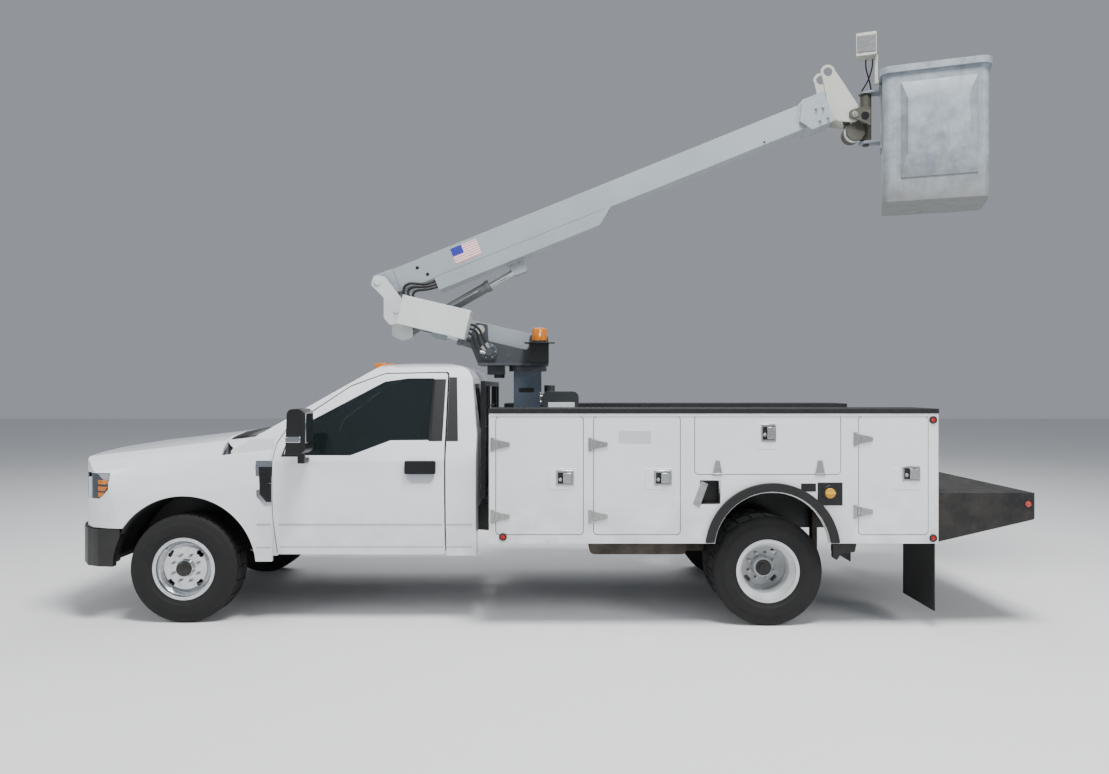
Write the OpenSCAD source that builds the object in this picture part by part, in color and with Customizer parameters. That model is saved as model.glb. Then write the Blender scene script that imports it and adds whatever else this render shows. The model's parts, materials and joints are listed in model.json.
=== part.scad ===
// Bucket truck: heavy pickup chassis, service body and a telescopic articulating lift.
// X runs forward, Y to the truck's left, Z up. The ground is z = 0.

/* [Chassis] */
// Distance between the front and rear axles
wheelbase = 4300; // [4200:10:4500]
// From the front axle to the face of the bumper
front_overhang = 973; // [950:1:1000]
// Height of the cab roof above the ground
cab_h = 1935; // [1905:5:1965]
// Diameter of every tyre
tyre_d = 799; // [770:1:820]
// Width of one tyre
tyre_w = 245; // [225:1:250]
// Diameter of the wheel at the tyre's bead
bead_d = 432; // [406:1:445]

/* [Service body] */
// Length of the side lockers
body_l = 3216; // [3180:4:3400]
// Width over the lockers
body_w = 2380; // [2320:10:2440]
// Height of the lockers' roofs
body_top = 1555; // [1545:5:1650]
// Depth of one locker, front to back
locker_d = 460; // [400:10:480]
// Length of the platform behind the body
tail_l = 699; // [500:10:900]

/* [Lift] */
// Lower arm, pin to pin
arm_l = 1238; // [1150:10:1300]
// Slope of the lower arm when stowed
arm_a = 13.3; // [11:0.1:15]
// Slope of the upper boom as parked
boom_a = 22; // [18:1:28]
// Upper boom, elbow pin to the end of the collar
boom_l = 4060; // [3900:20:4400]
// Width of the outer boom
boom_w = 220; // [210:2:230]
// Depth of the outer boom
boom_h = 200; // [190:2:210]

/* [Bucket] */
// Length of the bucket away from the boom
bucket_l = 790; // [640:10:900]
// Width of the bucket across the boom
bucket_w = 610; // [560:10:700]
// Height of the bucket over its rim
bucket_h = 1100; // [1000:10:1150]
// How far the parked bucket is swung to the left
bucket_yaw = 20; // [0:1:30]

/* [Hidden] */
$fn = 64;

// A pin is this much smaller in radius than the hole it turns in
pin_gap = 0.3;
// Two pieces of one body that rest together
seat_gap = 0.3;
// Gap round a door or lid
door_gap = 6;
eps = 1;

r_tyre = tyre_d / 2;
r_bead = bead_d / 2;

// Front wheel and kingpin, and the two rear tyres of a side
front_tyre_y = 877;
kingpin_y = 800;
dual_out_y = 957;
dual_in_y = 683;
dual_mid_y = (dual_out_y + dual_in_y) / 2;

// The tower stands where the rear axle puts the body
tower_back = wheelbase - 1785;
body_front = wheelbase - 2027;
body_rear = body_front + body_l;
body_y = body_w / 2;
locker_in = body_y - locker_d;
skin_t = 35;
deck_z = 930;

// Elbow, arm and boom pins, measured from the tower's axis
arm_dx = arm_l * cos(arm_a);
arm_dz = arm_l * sin(arm_a);
arm_rear = [-111, 2101];
arm_front = [arm_rear[0] + arm_dx, arm_rear[1] + arm_dz];
link_off = [64, -77];
link_rear = arm_rear + link_off;
link_front = arm_front + link_off;
elbow = arm_front + [156, 238];
ram_base = arm_front + [-42, -188];
ram_seat = [1128, -317];
lift_base = [150, 2000];
lift_pin = [740, arm_rear[1] + 851 * tan(arm_a) - 97];

// Routes of the hoses at the elbow, along the boom, across it and square to it
hose_r = 11;
boom_routes = [
  [[500, -98.7, -165], [440, -99, -165], [360, -125, -160], [300, -130, -135], [240, -130, -108],
   [190, -130, -115], [165, -130, -150], [158, -130, -190], [160, -130, -230]],
  [[500, -98.7, -190], [440, -99, -190], [370, -125, -186], [310, -130, -168], [260, -130, -148],
   [215, -130, -152], [195, -130, -180], [192, -130, -210], [194, -130, -240]],
  [[500, -98.7, -215], [440, -99, -215], [370, -125, -210], [320, -130, -198], [275, -130, -186],
   [240, -130, -192], [225, -130, -215], [222, -130, -245]]];

// Routes of the hoses at the turret, from its swivel to the arm's hose cover
turret_routes = [
  [[355, 227, 2055], [382, 230, 2090], [400, 232, 2130], [410, 234, 2180], [435, 236, 2215],
   [475, 238, 2228]],
  [[322, 227, 2080], [345, 230, 2120], [372, 232, 2170], [392, 234, 2215], [430, 236, 2252],
   [468, 238, 2262]],
  [[357, 227, 2027], [400, 230, 2040], [430, 232, 2085], [440, 234, 2140], [455, 236, 2175],
   [483, 238, 2192]]];

// The boom's own axes: u out along it, w square to it and up
u_dir = [-cos(boom_a), sin(boom_a)];
w_dir = [sin(boom_a), cos(boom_a)];
boom_top = 63;
boom_mid = boom_top - boom_h / 2;
level_uw = [boom_l + 180, boom_mid - 151];
level_pin = elbow + level_uw[0] * u_dir + level_uw[1] * w_dir;
swing_x = level_pin[0] - 135;
face_d = 130;
bucket_top = level_pin[1] + 312;
bucket_bottom = bucket_top - bucket_h;

// The row's origin is half way between the bumper and the bucket's far corner
bucket_reach = (face_d + bucket_l + 25) * cos(bucket_yaw) + (bucket_w / 2 + 25) * sin(bucket_yaw) - 30;
total_rear = tower_back - swing_x + bucket_reach;
x_axle = (total_rear - front_overhang) / 2;
x_tower = x_axle - tower_back;

// ---- helpers ----

module truck() translate([x_axle, 0, 0]) children();

module tower() translate([x_tower, 0, 0]) children();

module both() {
  children();
  mirror([0, 1, 0]) children();
}

module right() mirror([0, 1, 0]) children();

module block(x0, x1, y0, y1, z0, z1) translate([x0, y0, z0]) cube([x1 - x0, y1 - y0, z1 - z0]);

module ycyl(x, z, r, y0, y1) translate([x, y0, z]) rotate([-90, 0, 0]) cylinder(h = y1 - y0, r = r);

module xcyl(y, z, r, x0, x1) translate([x0, y, z]) rotate([0, 90, 0]) cylinder(h = x1 - x0, r = r);

module zcyl(x, y, r, z0, z1) translate([x, y, z0]) cylinder(h = z1 - z0, r = r);

// A round bar between two points of the X-Z plane
module bar_xz(p, q, r, y) {
  d = q - p;
  translate([p[0], y, p[1]]) rotate([0, atan2(d[0], d[1]), 0]) cylinder(h = norm(d), r = r);
}

// A profile drawn in X-Z, given depth along Y
module side_prism(pts, y0, y1)
  translate([0, y1, 0]) rotate([90, 0, 0]) linear_extrude(y1 - y0) polygon(pts);

// A profile drawn in Y-Z, given length along X
module front_prism(pts, x0, x1)
  translate([x0, 0, 0]) rotate([90, 0, 90]) linear_extrude(x1 - x0) polygon(pts);

module plan_prism(pts, z0, z1) translate([0, 0, z0]) linear_extrude(z1 - z0) polygon(pts);

function mirrored(half) =
  concat(half, [for (i = [len(half) - 1:-1:0]) if (half[i][0] > 0) [-half[i][0], half[i][1]]]);

function unit(v) = v / norm(v);

function corner(p, q, s, r, n) =
  let (a = unit(p - q), b = unit(s - q), h = acos(a * b) / 2, c = q + unit(a + b) * r / sin(h),
    t0 = q + a * r / tan(h) - c, t1 = q + b * r / tan(h) - c, a0 = atan2(t0[1], t0[0]),
    turn = atan2(t1[1], t1[0]) - a0, sweep = turn > 180 ? turn - 360 : turn < -180 ? turn + 360 : turn)
  [for (i = [0:n]) c + r * [cos(a0 + sweep * i / n), sin(a0 + sweep * i / n)]];

// Points [x, y, r] become a profile whose corners have radius r
function rounded(pts, n = 5) =
  [for (i = [0:len(pts) - 1])
    let (m = len(pts), p = pts[(i + m - 1) % m], q = pts[i], s = pts[(i + 1) % m])
    each q[2] > 0 ? corner([p[0], p[1]], [q[0], q[1]], [s[0], s[1]], q[2], n) : [[q[0], q[1]]]];

function round_rect(x0, x1, z0, z1, r, n = 5) =
  rounded([[x0, z0, r], [x1, z0, r], [x1, z1, r], [x0, z1, r]], n);

function shrunk(pts, c, k) = [for (p = pts) c + (p - c) * k];

// ---- wheels ----

function tyre_half(w, r0, r1) =
  [[r0, 0.34 * w], [r0, 0.40 * w], [r0 + 12, 0.42 * w], [r0 + 40, 0.478 * w], [r0 + 80, 0.5 * w],
   [r1 - 60, 0.497 * w], [r1 - 36, 0.48 * w], [r1 - 18, 0.452 * w], [r1 - 7, 0.415 * w],
   [r1 - 1.5, 0.36 * w], [r1, 0.27 * w]];

function tyre_hollow(w, r0, r1) =
  [[r1 - 20, 0.24 * w], [r1 - 24, 0.38 * w], [r1 - 60, 0.44 * w], [r0 + 40, 0.42 * w],
   [r0 + 12, 0.35 * w]];

function flip(pts) = [for (i = [len(pts) - 1:-1:0]) [pts[i][0], -pts[i][1]]];

module tyre(y) {
  h = tyre_half(tyre_w, r_bead, r_tyre);
  c = tyre_hollow(tyre_w, r_bead, r_tyre);
  translate([0, y, r_tyre]) rotate([90, 0, 0]) rotate_extrude($fn = 96)
    polygon(concat(h, flip(h), flip(c), flip(flip(c))));
}

// A barrel with its two lips; the disc is added by each wheel
function barrel(w) =
  let (a = 0.40 * w, b = 0.43 * w, r = r_bead - seat_gap)
  [[r, a], [r, b], [r_bead + 15, b], [r_bead + 15, b + 7], [r - 9, b + 7], [r - 9, a - 20],
   [r - 40, a - 60], [r - 40, -a + 30], [r - 9, -a], [r - 9, -b - 7], [r_bead + 15, -b - 7],
   [r_bead + 15, -b], [r, -b], [r, -a + 4], [r - 30, -a + 34], [r - 30, a - 64], [r, a - 24]];

module hand_holes(r_pitch, r, y0, y1)
  for (i = [0:3]) rotate([0, 45 + 90 * i, 0]) {
    ycyl(r_pitch, 12, r, y0, y1);
    ycyl(r_pitch, -12, r, y0, y1);
  }

// Outward is +Y; the hub's bore runs on the knuckle's spindle
module front_rim() {
  translate([0, front_tyre_y, r_tyre]) difference() {
    union() {
      rotate([-90, 0, 0]) rotate_extrude($fn = 96) polygon(barrel(tyre_w));
      rotate([-90, 0, 0]) rotate_extrude($fn = 96)
        polygon([[30 + pin_gap, -38], [70, -38], [70, 60], [150, 60], [168, 40], [178, 10],
          [178, -2], [190, -2], [190, 14], [180, 50], [158, 74], [70, 74], [62, 100], [30, 104],
          [30 + pin_gap, 60]]);
      ycyl(0, 0, 40, 88, 104);
    }
    hand_holes(150, 17, 20, 90);
  }
}

module rear_rims() {
  translate([0, 0, r_tyre]) difference() {
    union() {
      for (s = [1, -1]) translate([0, s > 0 ? dual_out_y : dual_in_y, 0]) rotate([-90, 0, 0])
        rotate_extrude($fn = 96)
          polygon(s > 0 ? barrel(tyre_w) : flip(barrel(tyre_w)));
      for (s = [1, -1]) translate([0, dual_mid_y, 0]) rotate([-90, 0, 0]) rotate_extrude($fn = 96)
        polygon([for (p = [[40 + pin_gap, 0], [150, 0], [160, 4], [182, 26], [212, 26], [212, 38], [178, 38], [148, 14],
          [40 + pin_gap, 14]]) [p[0], s * p[1]]]);
      translate([0, dual_mid_y, 0]) rotate([-90, 0, 0]) rotate_extrude($fn = 64)
        polygon([[40 + pin_gap, -60], [90, -60], [90, 14], [76, 20], [70, 104], [58, 112], [0, 112],
          [0, 20], [40 + pin_gap, 20]]);
    }
    hand_holes(140, 16, dual_mid_y - 20, dual_mid_y + 20);
  }
}

module front_left_tyre() color("#202124") truck() tyre(front_tyre_y);
module front_right_tyre() color("#202124") truck() right() tyre(front_tyre_y);
module front_left_rim() color("#cfd2d4") truck() front_rim();
module front_right_rim() color("#cfd2d4") truck() right() front_rim();

module rear_tyres() translate([-wheelbase, 0, 0]) {
  tyre(dual_out_y);
  tyre(dual_in_y);
}

module rear_left_tyres() color("#202124") truck() rear_tyres();
module rear_right_tyres() color("#202124") truck() right() rear_tyres();
module rear_left_rims() color("#d9dbdc") truck() translate([-wheelbase, 0, 0]) rear_rims();
module rear_right_rims() color("#d9dbdc") truck() right() translate([-wheelbase, 0, 0]) rear_rims();

// ---- running gear ----

// Upright, spindle, brake disc and steering arm, on a kingpin
module knuckle() {
  z = r_tyre;
  zcyl(0, kingpin_y, 36, z - 104, z + 104);
  zcyl(0, kingpin_y, 18, z - 150, z + 150);
  ycyl(0, z, 30, kingpin_y, front_tyre_y + 58);
  difference() {
    ycyl(0, z, 110, front_tyre_y - 74, front_tyre_y - 50);
    ycyl(0, z, 25, front_tyre_y - 80, front_tyre_y - 40);
  }
  block(-150, 0, kingpin_y - 12, kingpin_y + 12, z - 70, z - 46);
  block(-60, 60, kingpin_y - 4, front_tyre_y - 60, z - 60, z + 60);
}

module left_knuckle() color("#4a4c4e") truck() knuckle();
module right_knuckle() color("#4a4c4e") truck() right() knuckle();

module frame_rails() color("#1d1e20") truck() {
  rail_end = body_rear - 40;
  both() {
    difference() {
      block(-rail_end, 740, 390, 460, 620, 800);
      block(-rail_end - eps, 741, 389, 452, 628, 792);
    }
    block(-rail_end, -tower_back - 175, 390, 460, 800, deck_z - seat_gap);
    block(-tower_back + 175, -body_front - 30, 390, 460, 800, deck_z - seat_gap);
    for (x = [-850, -2000]) block(x - 50, x + 50, 455, 640, 700, 830 - seat_gap);
  }
  for (x = [650, -1250, -2150, -3350, -rail_end + 60])
    block(x - 35, x + 35, -455, 455, 700, 780);
}

module axles() color("#2a2b2d") truck() {
  z = r_tyre;
  // front: tube, forks for the kingpins, coil springs
  ycyl(0, z, 45, -690, 690);
  xcyl(150, z, 120, -110, 130);
  both() {
    block(-45, 45, 680, 720, z - 145, z + 145);
    for (s = [-1, 1]) difference() {
      union() {
        zcyl(0, kingpin_y, 42, z + s * 130 - 15, z + s * 130 + 15);
        block(-42, 42, 700, kingpin_y, z + s * 130 - 15, z + s * 130 + 15);
      }
      zcyl(0, kingpin_y, 18 + pin_gap, z + s * 130 - 20, z + s * 130 + 20);
    }
    zcyl(0, 425, 62, z + 20, 620 - seat_gap);
  }
  // rear: tube, gear case, leaf springs with their hangers
  translate([-wheelbase, 0, 0]) {
    ycyl(0, z, 55, -dual_in_y + 90, dual_in_y - 90);
    ycyl(0, z, 40, -dual_mid_y - 16, dual_mid_y + 16);
    ycyl(0, z, 165, -110, 110);
    xcyl(0, z, 90, 0, 290);
    both() {
      block(-520, 520, 470, 540, z + 50, z + 105);
      block(-70, 70, 462, 548, z - 70, z + 130);
      for (x = [-500, 500]) block(x - 20, x + 20, 460 + seat_gap, 545, z + 60, 760);
    }
  }
}

// Engine and gearbox as plain blocks, then shaft, exhaust and fuel tank
module driveline() color("#2c2d2f") truck() {
  block(-290, 420, -270, 270, 560, 1130);
  block(-1150, -290, -150, 150, 560, 790);
  block(-330, -250, -389 + seat_gap, 389 - seat_gap, 640, 700);
  bar_xz([-wheelbase + 297, r_tyre + 20], [-1150, 640], 40, 0);
  // left fuel tank on two straps
  side_prism(round_rect(-wheelbase + 540, -wheelbase + 1290, 455, 790, 40), 460 + seat_gap,
    locker_in - 12);
  // right exhaust
  xcyl(-540, 560, 75, -2700, -2000);
  xcyl(-540, 560, 32, -3300, -1000);
  for (x = [-1150, -3200]) block(x - 10, x + 10, -560, -460 - seat_gap, 560, 700);
}

// ---- front end ----

front_crown = [[0, 0], [450, -8], [690, -30], [790, -52], [870, -92], [940, -165], [980, -260],
  [1000, -400], [1003, -1100]];

function front_plan(g) =
  mirrored([for (p = [[893, 0], [880, 450], [845, 680], [790, 830], [700, 930], [560, 985],
    [450, 1003], [-655, 1003]]) [p[1] > g ? p[1] - g : p[1], p[0] - (p[0] > 400 ? g : 0)]]);

// The nose from the doors forward, with its skin set in by g
module crown(g) translate([-655, 0, 1438 - g]) rotate([0, 6.7, 0])
  front_prism(concat(mirrored(front_crown)), -60, 1700);

module nose(g = 0) intersection() {
  side_prism([[-655, 380], [-655, 1400 - g], [-255, 1388 - g], [-27, 1366 - g], [165, 1344 - g],
    [358, 1320 - g], [550, 1296 - g], [700, 1266 - g], [790, 1226 - g], [850, 1165 - g],
    [896 - g, 1085 - g], [896 - g, 380]], -1010, 1010);
  crown(g);
  rotate([0, 0, -90]) mirror([1, 0, 0]) plan_prism(front_plan(g), 370, 1500);
}

lamp_bottom = 915;
lamp_top = 1105;
arch_r = 540;
hood_y = 790;
hood_rear = -250;
grille_y = 575;

module lamp_region(g = 0) both() {
  side_prism([[560 - g, lamp_bottom + 70 - g], [560 - g, lamp_top + g], [900, lamp_top + g],
    [900, lamp_bottom - g], [640 - g, lamp_bottom - g]], grille_y - g, 1010);
}

module hood_region(g = 0) block(hood_rear - g, 900, -hood_y - g, hood_y + g, 1108 - g, 1500);

module fenders() color("#eef0f2") truck() {
  difference() {
    nose();
    difference() {
      nose(35);
      both() difference() {
        ycyl(0, r_tyre, arch_r + 12, 500, 1010);
        ycyl(0, r_tyre, arch_r, 515, 1011);
        block(-700, 700, 490, 1011, 0, 640);
      }
    }
    hood_region(door_gap);
    lamp_region(seat_gap);
    both() ycyl(0, r_tyre, arch_r, 515, 1011);
    // open between the fenders, at the front and under the bumper's line
    block(-700, 900, -930, 930, 300, 640);
    block(0, 900, -1011, 1011, 300, 700);
    block(700, 900, -grille_y, grille_y, 300, 1110);
    block(-700, hood_rear - door_gap, -930 - seat_gap, 930 + seat_gap, 300, 1500);
    block(-700, 900, -1011, 1011, 300, 458);
  }
  // radiator support, standing on the rails, with the hood's two rubber stops
  both() intersection() {
    nose(28 + seat_gap);
    block(740, 765, 560, 600, 1060, 1300);
  }
  difference() {
    block(735, 770, -860, 860, 800 + seat_gap, 1070);
    block(730, 775, -380, 380, 840, 1030);
  }
}

module hood() color("#eef0f2") truck() difference() {
  intersection() {
    nose();
    hood_region();
  }
  intersection() {
    nose(28);
    block(hood_rear - 10, 900, -hood_y + 25, hood_y - 25, 1000, 1500);
  }
  block(-700, 700, -hood_y - 1, hood_y + 1, 1000, 1180);
}

module headlamps() color("#c8ccd2") truck() difference() {
  intersection() {
    nose();
    lamp_region();
  }
  block(300, 771, -905, 905, 800, 1300);
}

module grille() color("#26282a") truck() {
  difference() {
    intersection() {
      nose();
      block(770 + seat_gap, 900, -grille_y + 1, grille_y - 1, 720, lamp_top - 2);
    }
    block(760, 835, -grille_y + 40, grille_y - 40, 740, lamp_top - 30);
    for (i = [0:2]) block(760, 900, -grille_y + 60, grille_y - 60, 765 + i * 110, 840 + i * 110);
  }
  both() block(835, 868, -18, 18, 730, lamp_top - 10);
}

function bumper_plan(g) =
  mirrored([for (p = [[973, 0], [962, 420], [912, 640], [850, 770], [740, 925], [640, 972],
    [470, 995]]) [p[1] > g ? p[1] - g : p[1], p[0] - (p[0] > 480 ? g : 0)]]);

module front_bumper() color("#1b1c1e") truck() {
  difference() {
    rotate([0, 0, -90]) mirror([1, 0, 0]) plan_prism(bumper_plan(0), 415, 692);
    rotate([0, 0, -90]) mirror([1, 0, 0]) plan_prism(bumper_plan(60), 405, 700);
    block(400, 600, -930, 930, 400, 700);
    block(880, 1000, -330, 330, 470, 560);
    both() ycyl(0, r_tyre, arch_r - 15, 800, 1011);
  }
  both() {
    block(740 + seat_gap, 912, 395, 445, 622, 690);
    // tow hook under the bumper
    difference() {
      side_prism(rounded([[760, 340, 20], [860, 340, 20], [905, 380, 10], [905, 640, 0],
        [860, 640, 0], [760, 420, 20]]), 405, 435);
      ycyl(815, 378, 17, 400, 440);
    }
  }
}

// ---- cab ----

cab_rear = 2160;
roof = cab_h - 1935;

cab_section = [[0, 1940 + roof], [420, 1933 + roof], [560, 1918 + roof], [640, 1895 + roof],
  [690, 1864 + roof], [722, 1825 + roof], [972, 1262], [995, 1200], [1004, 1100], [1005, 900],
  [996, 720], [965, 490], [0, 490]];

cab_hollow = [[0, 1892 + roof], [400, 1886 + roof], [560, 1868 + roof], [640, 1840 + roof],
  [700, 1798 + roof], [925, 1300], [905, 1250], [905, 470], [0, 470]];

cab_side = [[-330, 495], [-330, 1290], [-262, 1330], [-262, 1410], [-470, 1450],
  [-1300, 1908 + roof], [-1400, 1916 + roof], [-1560, 1931 + roof], [-1750, 1936 + roof],
  [-1920, 1930 + roof], [-2020, 1908 + roof], [-2080, 1872 + roof], [-2112, 1812 + roof],
  [-2160, 1390], [-2160, 495]];

cab_side_in = [[-370, 860], [-370, 1350], [-500, 1393], [-1320, 1858 + roof],
  [-1440, 1880 + roof], [-1600, 1888 + roof], [-1900, 1884 + roof], [-1990, 1862 + roof],
  [-2044, 1822 + roof], [-2072, 1780 + roof], [-2115, 1390], [-2115, 860]];

door_outline = rounded([[-692, 505, 20], [-664, 800, 0], [-660, 1180, 0], [-676, 1320, 0],
  [-740, 1434, 60], [-1181, 1748 + roof, 120], [-1440, 1846 + roof, 90], [-1920, 1854 + roof, 25],
  [-1930, 505, 25]]);

door_hole = rounded([[-686, 480, 0], [-658, 800, 0], [-654, 1180, 0], [-670, 1324, 0],
  [-736, 1442, 60], [-1179, 1756 + roof, 120], [-1440, 1854 + roof, 90], [-1933, 1863 + roof, 25],
  [-1942, 480, 0]]);

window_outline = rounded([[-740, 1240, 20], [-1230, 1238, 60], [-1520, 1347, 60],
  [-1828, 1349, 15], [-1822, 1812 + roof, 15], [-1620, 1812 + roof, 60],
  [-1440, 1786 + roof, 60], [-800, 1432, 50], [-756, 1370, 50]]);

window_mid = [-1300, 1540];

// Inner face of the doors under the floor's level
door_in = 902;

// The windscreen is bent to a large radius across the cab
screen_r = 7000;
screen_slope = atan2(465 + roof, 820);
screen_arc = [for (i = [0:12]) [screen_r * sin(i * 0.72), screen_r * (cos(i * 0.72) - 1)]];
screen_half = concat(screen_arc, [[1056, -2500]]);

// Everything under the windscreen's surface, lowered by g
module under_screen(g) translate([-480, 0, 1428]) rotate([0, screen_slope, 0])
  front_prism([for (p = mirrored(screen_half)) [p[0], p[1] - g]], -2500, 700);

module cab_solid() intersection() {
  side_prism(cab_side, -1010, 1010);
  front_prism(mirrored(cab_section), -2200, -200);
  union() {
    under_screen(0);
    crown(0);
  }
}

module cab_space() intersection() {
  side_prism(cab_side_in, -960, 960);
  front_prism(mirrored(cab_hollow), -2200, -200);
  under_screen(42);
}

// The windscreen's plane: x runs up the slope, z runs inward
module on_screen() translate([-480, 0, 1428]) rotate([0, 180 + screen_slope, 0]) children();

function screen_outline(g) =
  rounded([[75 + g, -815 + g, 40], [75 + g, 815 - g, 40], [878 - g, 640 - g, 50],
    [878 - g, -640 + g, 50]]);

module cab_shell() color("#eef0f2") truck() {
  difference() {
    cab_solid();
    cab_space();
    both() {
      side_prism(door_hole, 600, 1011);
      block(-655, -200, 930, 1011, 400, 1396);
      // under the floor, inside the sills
      block(-2170, -300, -1, 780, 400, 830);
      ycyl(0, r_tyre, arch_r + 13, 500, 1011);
    }
    on_screen() translate([0, 0, -20]) linear_extrude(170) polygon(screen_outline(0));
    block(-2200, -2000, -600, 600, 1410, 1770);
  }
  // sills
  both() block(-2112, -arch_r - 20, 770, door_in - seat_gap, 520, 860);
}

module cab_glass() color("#9fb4bd80") truck() {
  intersection() {
    on_screen() translate([0, 0, -20]) linear_extrude(170) polygon(screen_outline(seat_gap));
    difference() {
      under_screen(8);
      under_screen(14);
    }
  }
  side_prism([[-2142, 1410.3], [-2136, 1410.3], [-2097, 1769.7], [-2103, 1769.7]], -599.7, 599.7);
}

module door() difference() {
  intersection() {
    cab_solid();
    side_prism(door_outline, 600, 1011);
  }
  cab_space();
  block(-2200, -300, 500, door_in, 400, 862);
  side_prism(window_outline, 600, 1011);
}

module door_glass() intersection() {
  side_prism(shrunk(window_outline, window_mid, 0.9994), 600, 1011);
  front_prism([[694, 1850 + roof], [700, 1850 + roof], [970, 1242], [970, 1200], [962, 1200],
    [962, 1242]], -2200, -500);
}

module mirror_pod() difference() {
  union() {
  side_prism(rounded([[-850, 1272, 25], [-862, 1590, 40], [-960, 1590, 30], [-985, 1565, 20],
    [-990, 1300, 30], [-960, 1272, 20]]), 1085, 1310);
    block(-930, -880, 960, 1120, 1190, 1225);
    block(-930, -880, 1085, 1120, 1190, 1290);
  }
  cab_solid();
}

module left_door() color("#eef0f2") truck() door();
module right_door() color("#eef0f2") truck() right() door();
module left_window() color("#9fb4bd80") truck() door_glass();
module right_window() color("#9fb4bd80") truck() right() door_glass();
module left_mirror() color("#1b1c1e") truck() mirror_pod();
module right_mirror() color("#1b1c1e") truck() right() mirror_pod();

// Bench seat, dashboard, column and steering wheel
module cab_interior() color("#4b4d50") truck() {
  side_prism(rounded([[-1180, 860 + seat_gap, 0], [-1180, 1090, 40], [-1260, 1120, 40],
    [-1640, 1090, 0], [-1745, 1560, 40], [-1860, 1580, 50], [-1800, 860 + seat_gap, 0]]), -690, 690);
  for (y = [-420, 0, 420]) block(-1850, -1760, y - 120, y + 120, 1540, 1690);
  side_prism(rounded([[-370 - seat_gap, 1000, 0], [-370 - seat_gap, 1220, 0], [-500, 1280, 0], [-620, 1310, 40],
    [-800, 1270, 60], [-780, 1050, 40], [-600, 1000, 30]]), -880, 880);
  bar_xz([-740, 1160], [-900, 1240], 30, 380);
  translate([-905, 380, 1242]) rotate([0, -62, 0]) {
    rotate_extrude() translate([180, 0]) circle(r = 16, $fn = 24);
    cylinder(h = 30, r = 60, center = true);
    for (a = [90, 210, 330]) rotate([0, 0, a]) translate([0, -14, -8]) cube([180, 28, 16]);
  }
}

// Steel guard between the cab and the body
module cab_guard() color("#1b1c1e") truck() {
  x0 = -2215;
  x1 = -2180;
  both() {
    block(x0, x1, 760, 800, 900, 1790);
    block(x0, x1, 400, 440, 800 + seat_gap, 1790);
    for (y = [140, 280, 560, 680]) block(x0 + 12, x1 - 12, y - 6, y + 6, 960, 1780);
  }
  for (z = [900, 1750]) block(x0, x1, -800, 800, z, z + 40);
  for (z = [1110, 1270, 1430, 1590]) block(x0 + 12, x1 - 12, -790, 790, z - 6, z + 6);
}

// ---- service body ----

front_x = [body_front + 51, body_front + 673];
middle_x = [body_front + 751, body_front + 1367];
drop_x = [wheelbase - 553, wheelbase + 488];
rear_x = [wheelbase + 620, body_rear - 75];
tall_z = [690, body_top - 22];
drop_z = [1122, body_top - 15];
flare_z = r_tyre + 178;
flare_r = 482;
flange = 14;

module locker_door(x, z, hang) {
  side_prism(round_rect(-x[1], -x[0], z[0], z[1], 26), body_y - skin_t, body_y);
  // pad under the latch, on the edge away from the hinges
  if (hang == "side")
    side_prism(round_rect(-x[1] + 55, -x[1] + 248, (z[0] + z[1]) / 2 - 100, (z[0] + z[1]) / 2 + 52, 12),
      body_y - 1, body_y + 3);
  else
    side_prism(round_rect(-(x[0] + x[1]) / 2 - 70, -(x[0] + x[1]) / 2 + 70, z[1] - 240, z[1] - 50, 12),
      body_y - 1, body_y + 3);
}

// The door's recess, and the smaller way through the flange it shuts against
module locker_hole(x, z) {
  side_prism(round_rect(-x[1] - 5, -x[0] + 5, z[0] - 5, z[1] + 5, 30), body_y - skin_t - seat_gap,
    body_y + eps);
  side_prism(round_rect(-x[1] + flange, -x[0] - flange, z[0] + flange, z[1] - flange, 12),
    body_y - skin_t - flange - eps, body_y);
}

module service_body() color("#eef0f2") truck() {
  wb = wheelbase;
  both() difference() {
    block(-body_rear, -body_front, locker_in, body_y, 625, body_top);
    for (x = [front_x, middle_x, rear_x]) {
      block(-x[1] - 22, -x[0] + 22, locker_in + 15, body_y - skin_t - flange, 650, body_top - 20);
      locker_hole(x, tall_z);
    }
    block(-drop_x[1] - 22, -drop_x[0] + 22, locker_in + 15, body_y - skin_t - flange, drop_z[0] - 20,
      body_top - 20);
    locker_hole(drop_x, drop_z);
    // wheel well behind the skin, and the round arch through it
    block(-wb - 560, -wb + 605, locker_in - 1, body_y - skin_t, 600, drop_z[0] - 45);
    ycyl(-wb, flare_z, flare_r - 70, body_y - skin_t - 5, body_y + 5);
    block(-wb - flare_r + 70, -wb + flare_r - 70, body_y - 50, body_y + 5, 600, flare_z);
    // wheel chock pocket
    block(-wb + 370, -wb + 518, body_y - 60, body_y + 5, 905, 1080);
  }
  difference() {
    block(-body_rear, -body_front, -locker_in - 1, locker_in + 1, deck_z, deck_z + 28);
    block(-tower_back - 175, -tower_back + 175, -175, 175, deck_z - 10, deck_z + 40);
  }
  block(-body_front - 25, -body_front, -locker_in - 1, locker_in + 1, deck_z, 1300);
  // rear panel under the deck, between the lockers
  block(-body_rear, -body_rear + 25, -locker_in - 1, locker_in + 1, 830, deck_z + 1);
}

module locker_tops() color("#222325") truck() both()
  block(-body_rear - 4, -body_front + 4, locker_in - 5, body_y + 5, body_top + seat_gap,
    body_top + 35);

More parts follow.
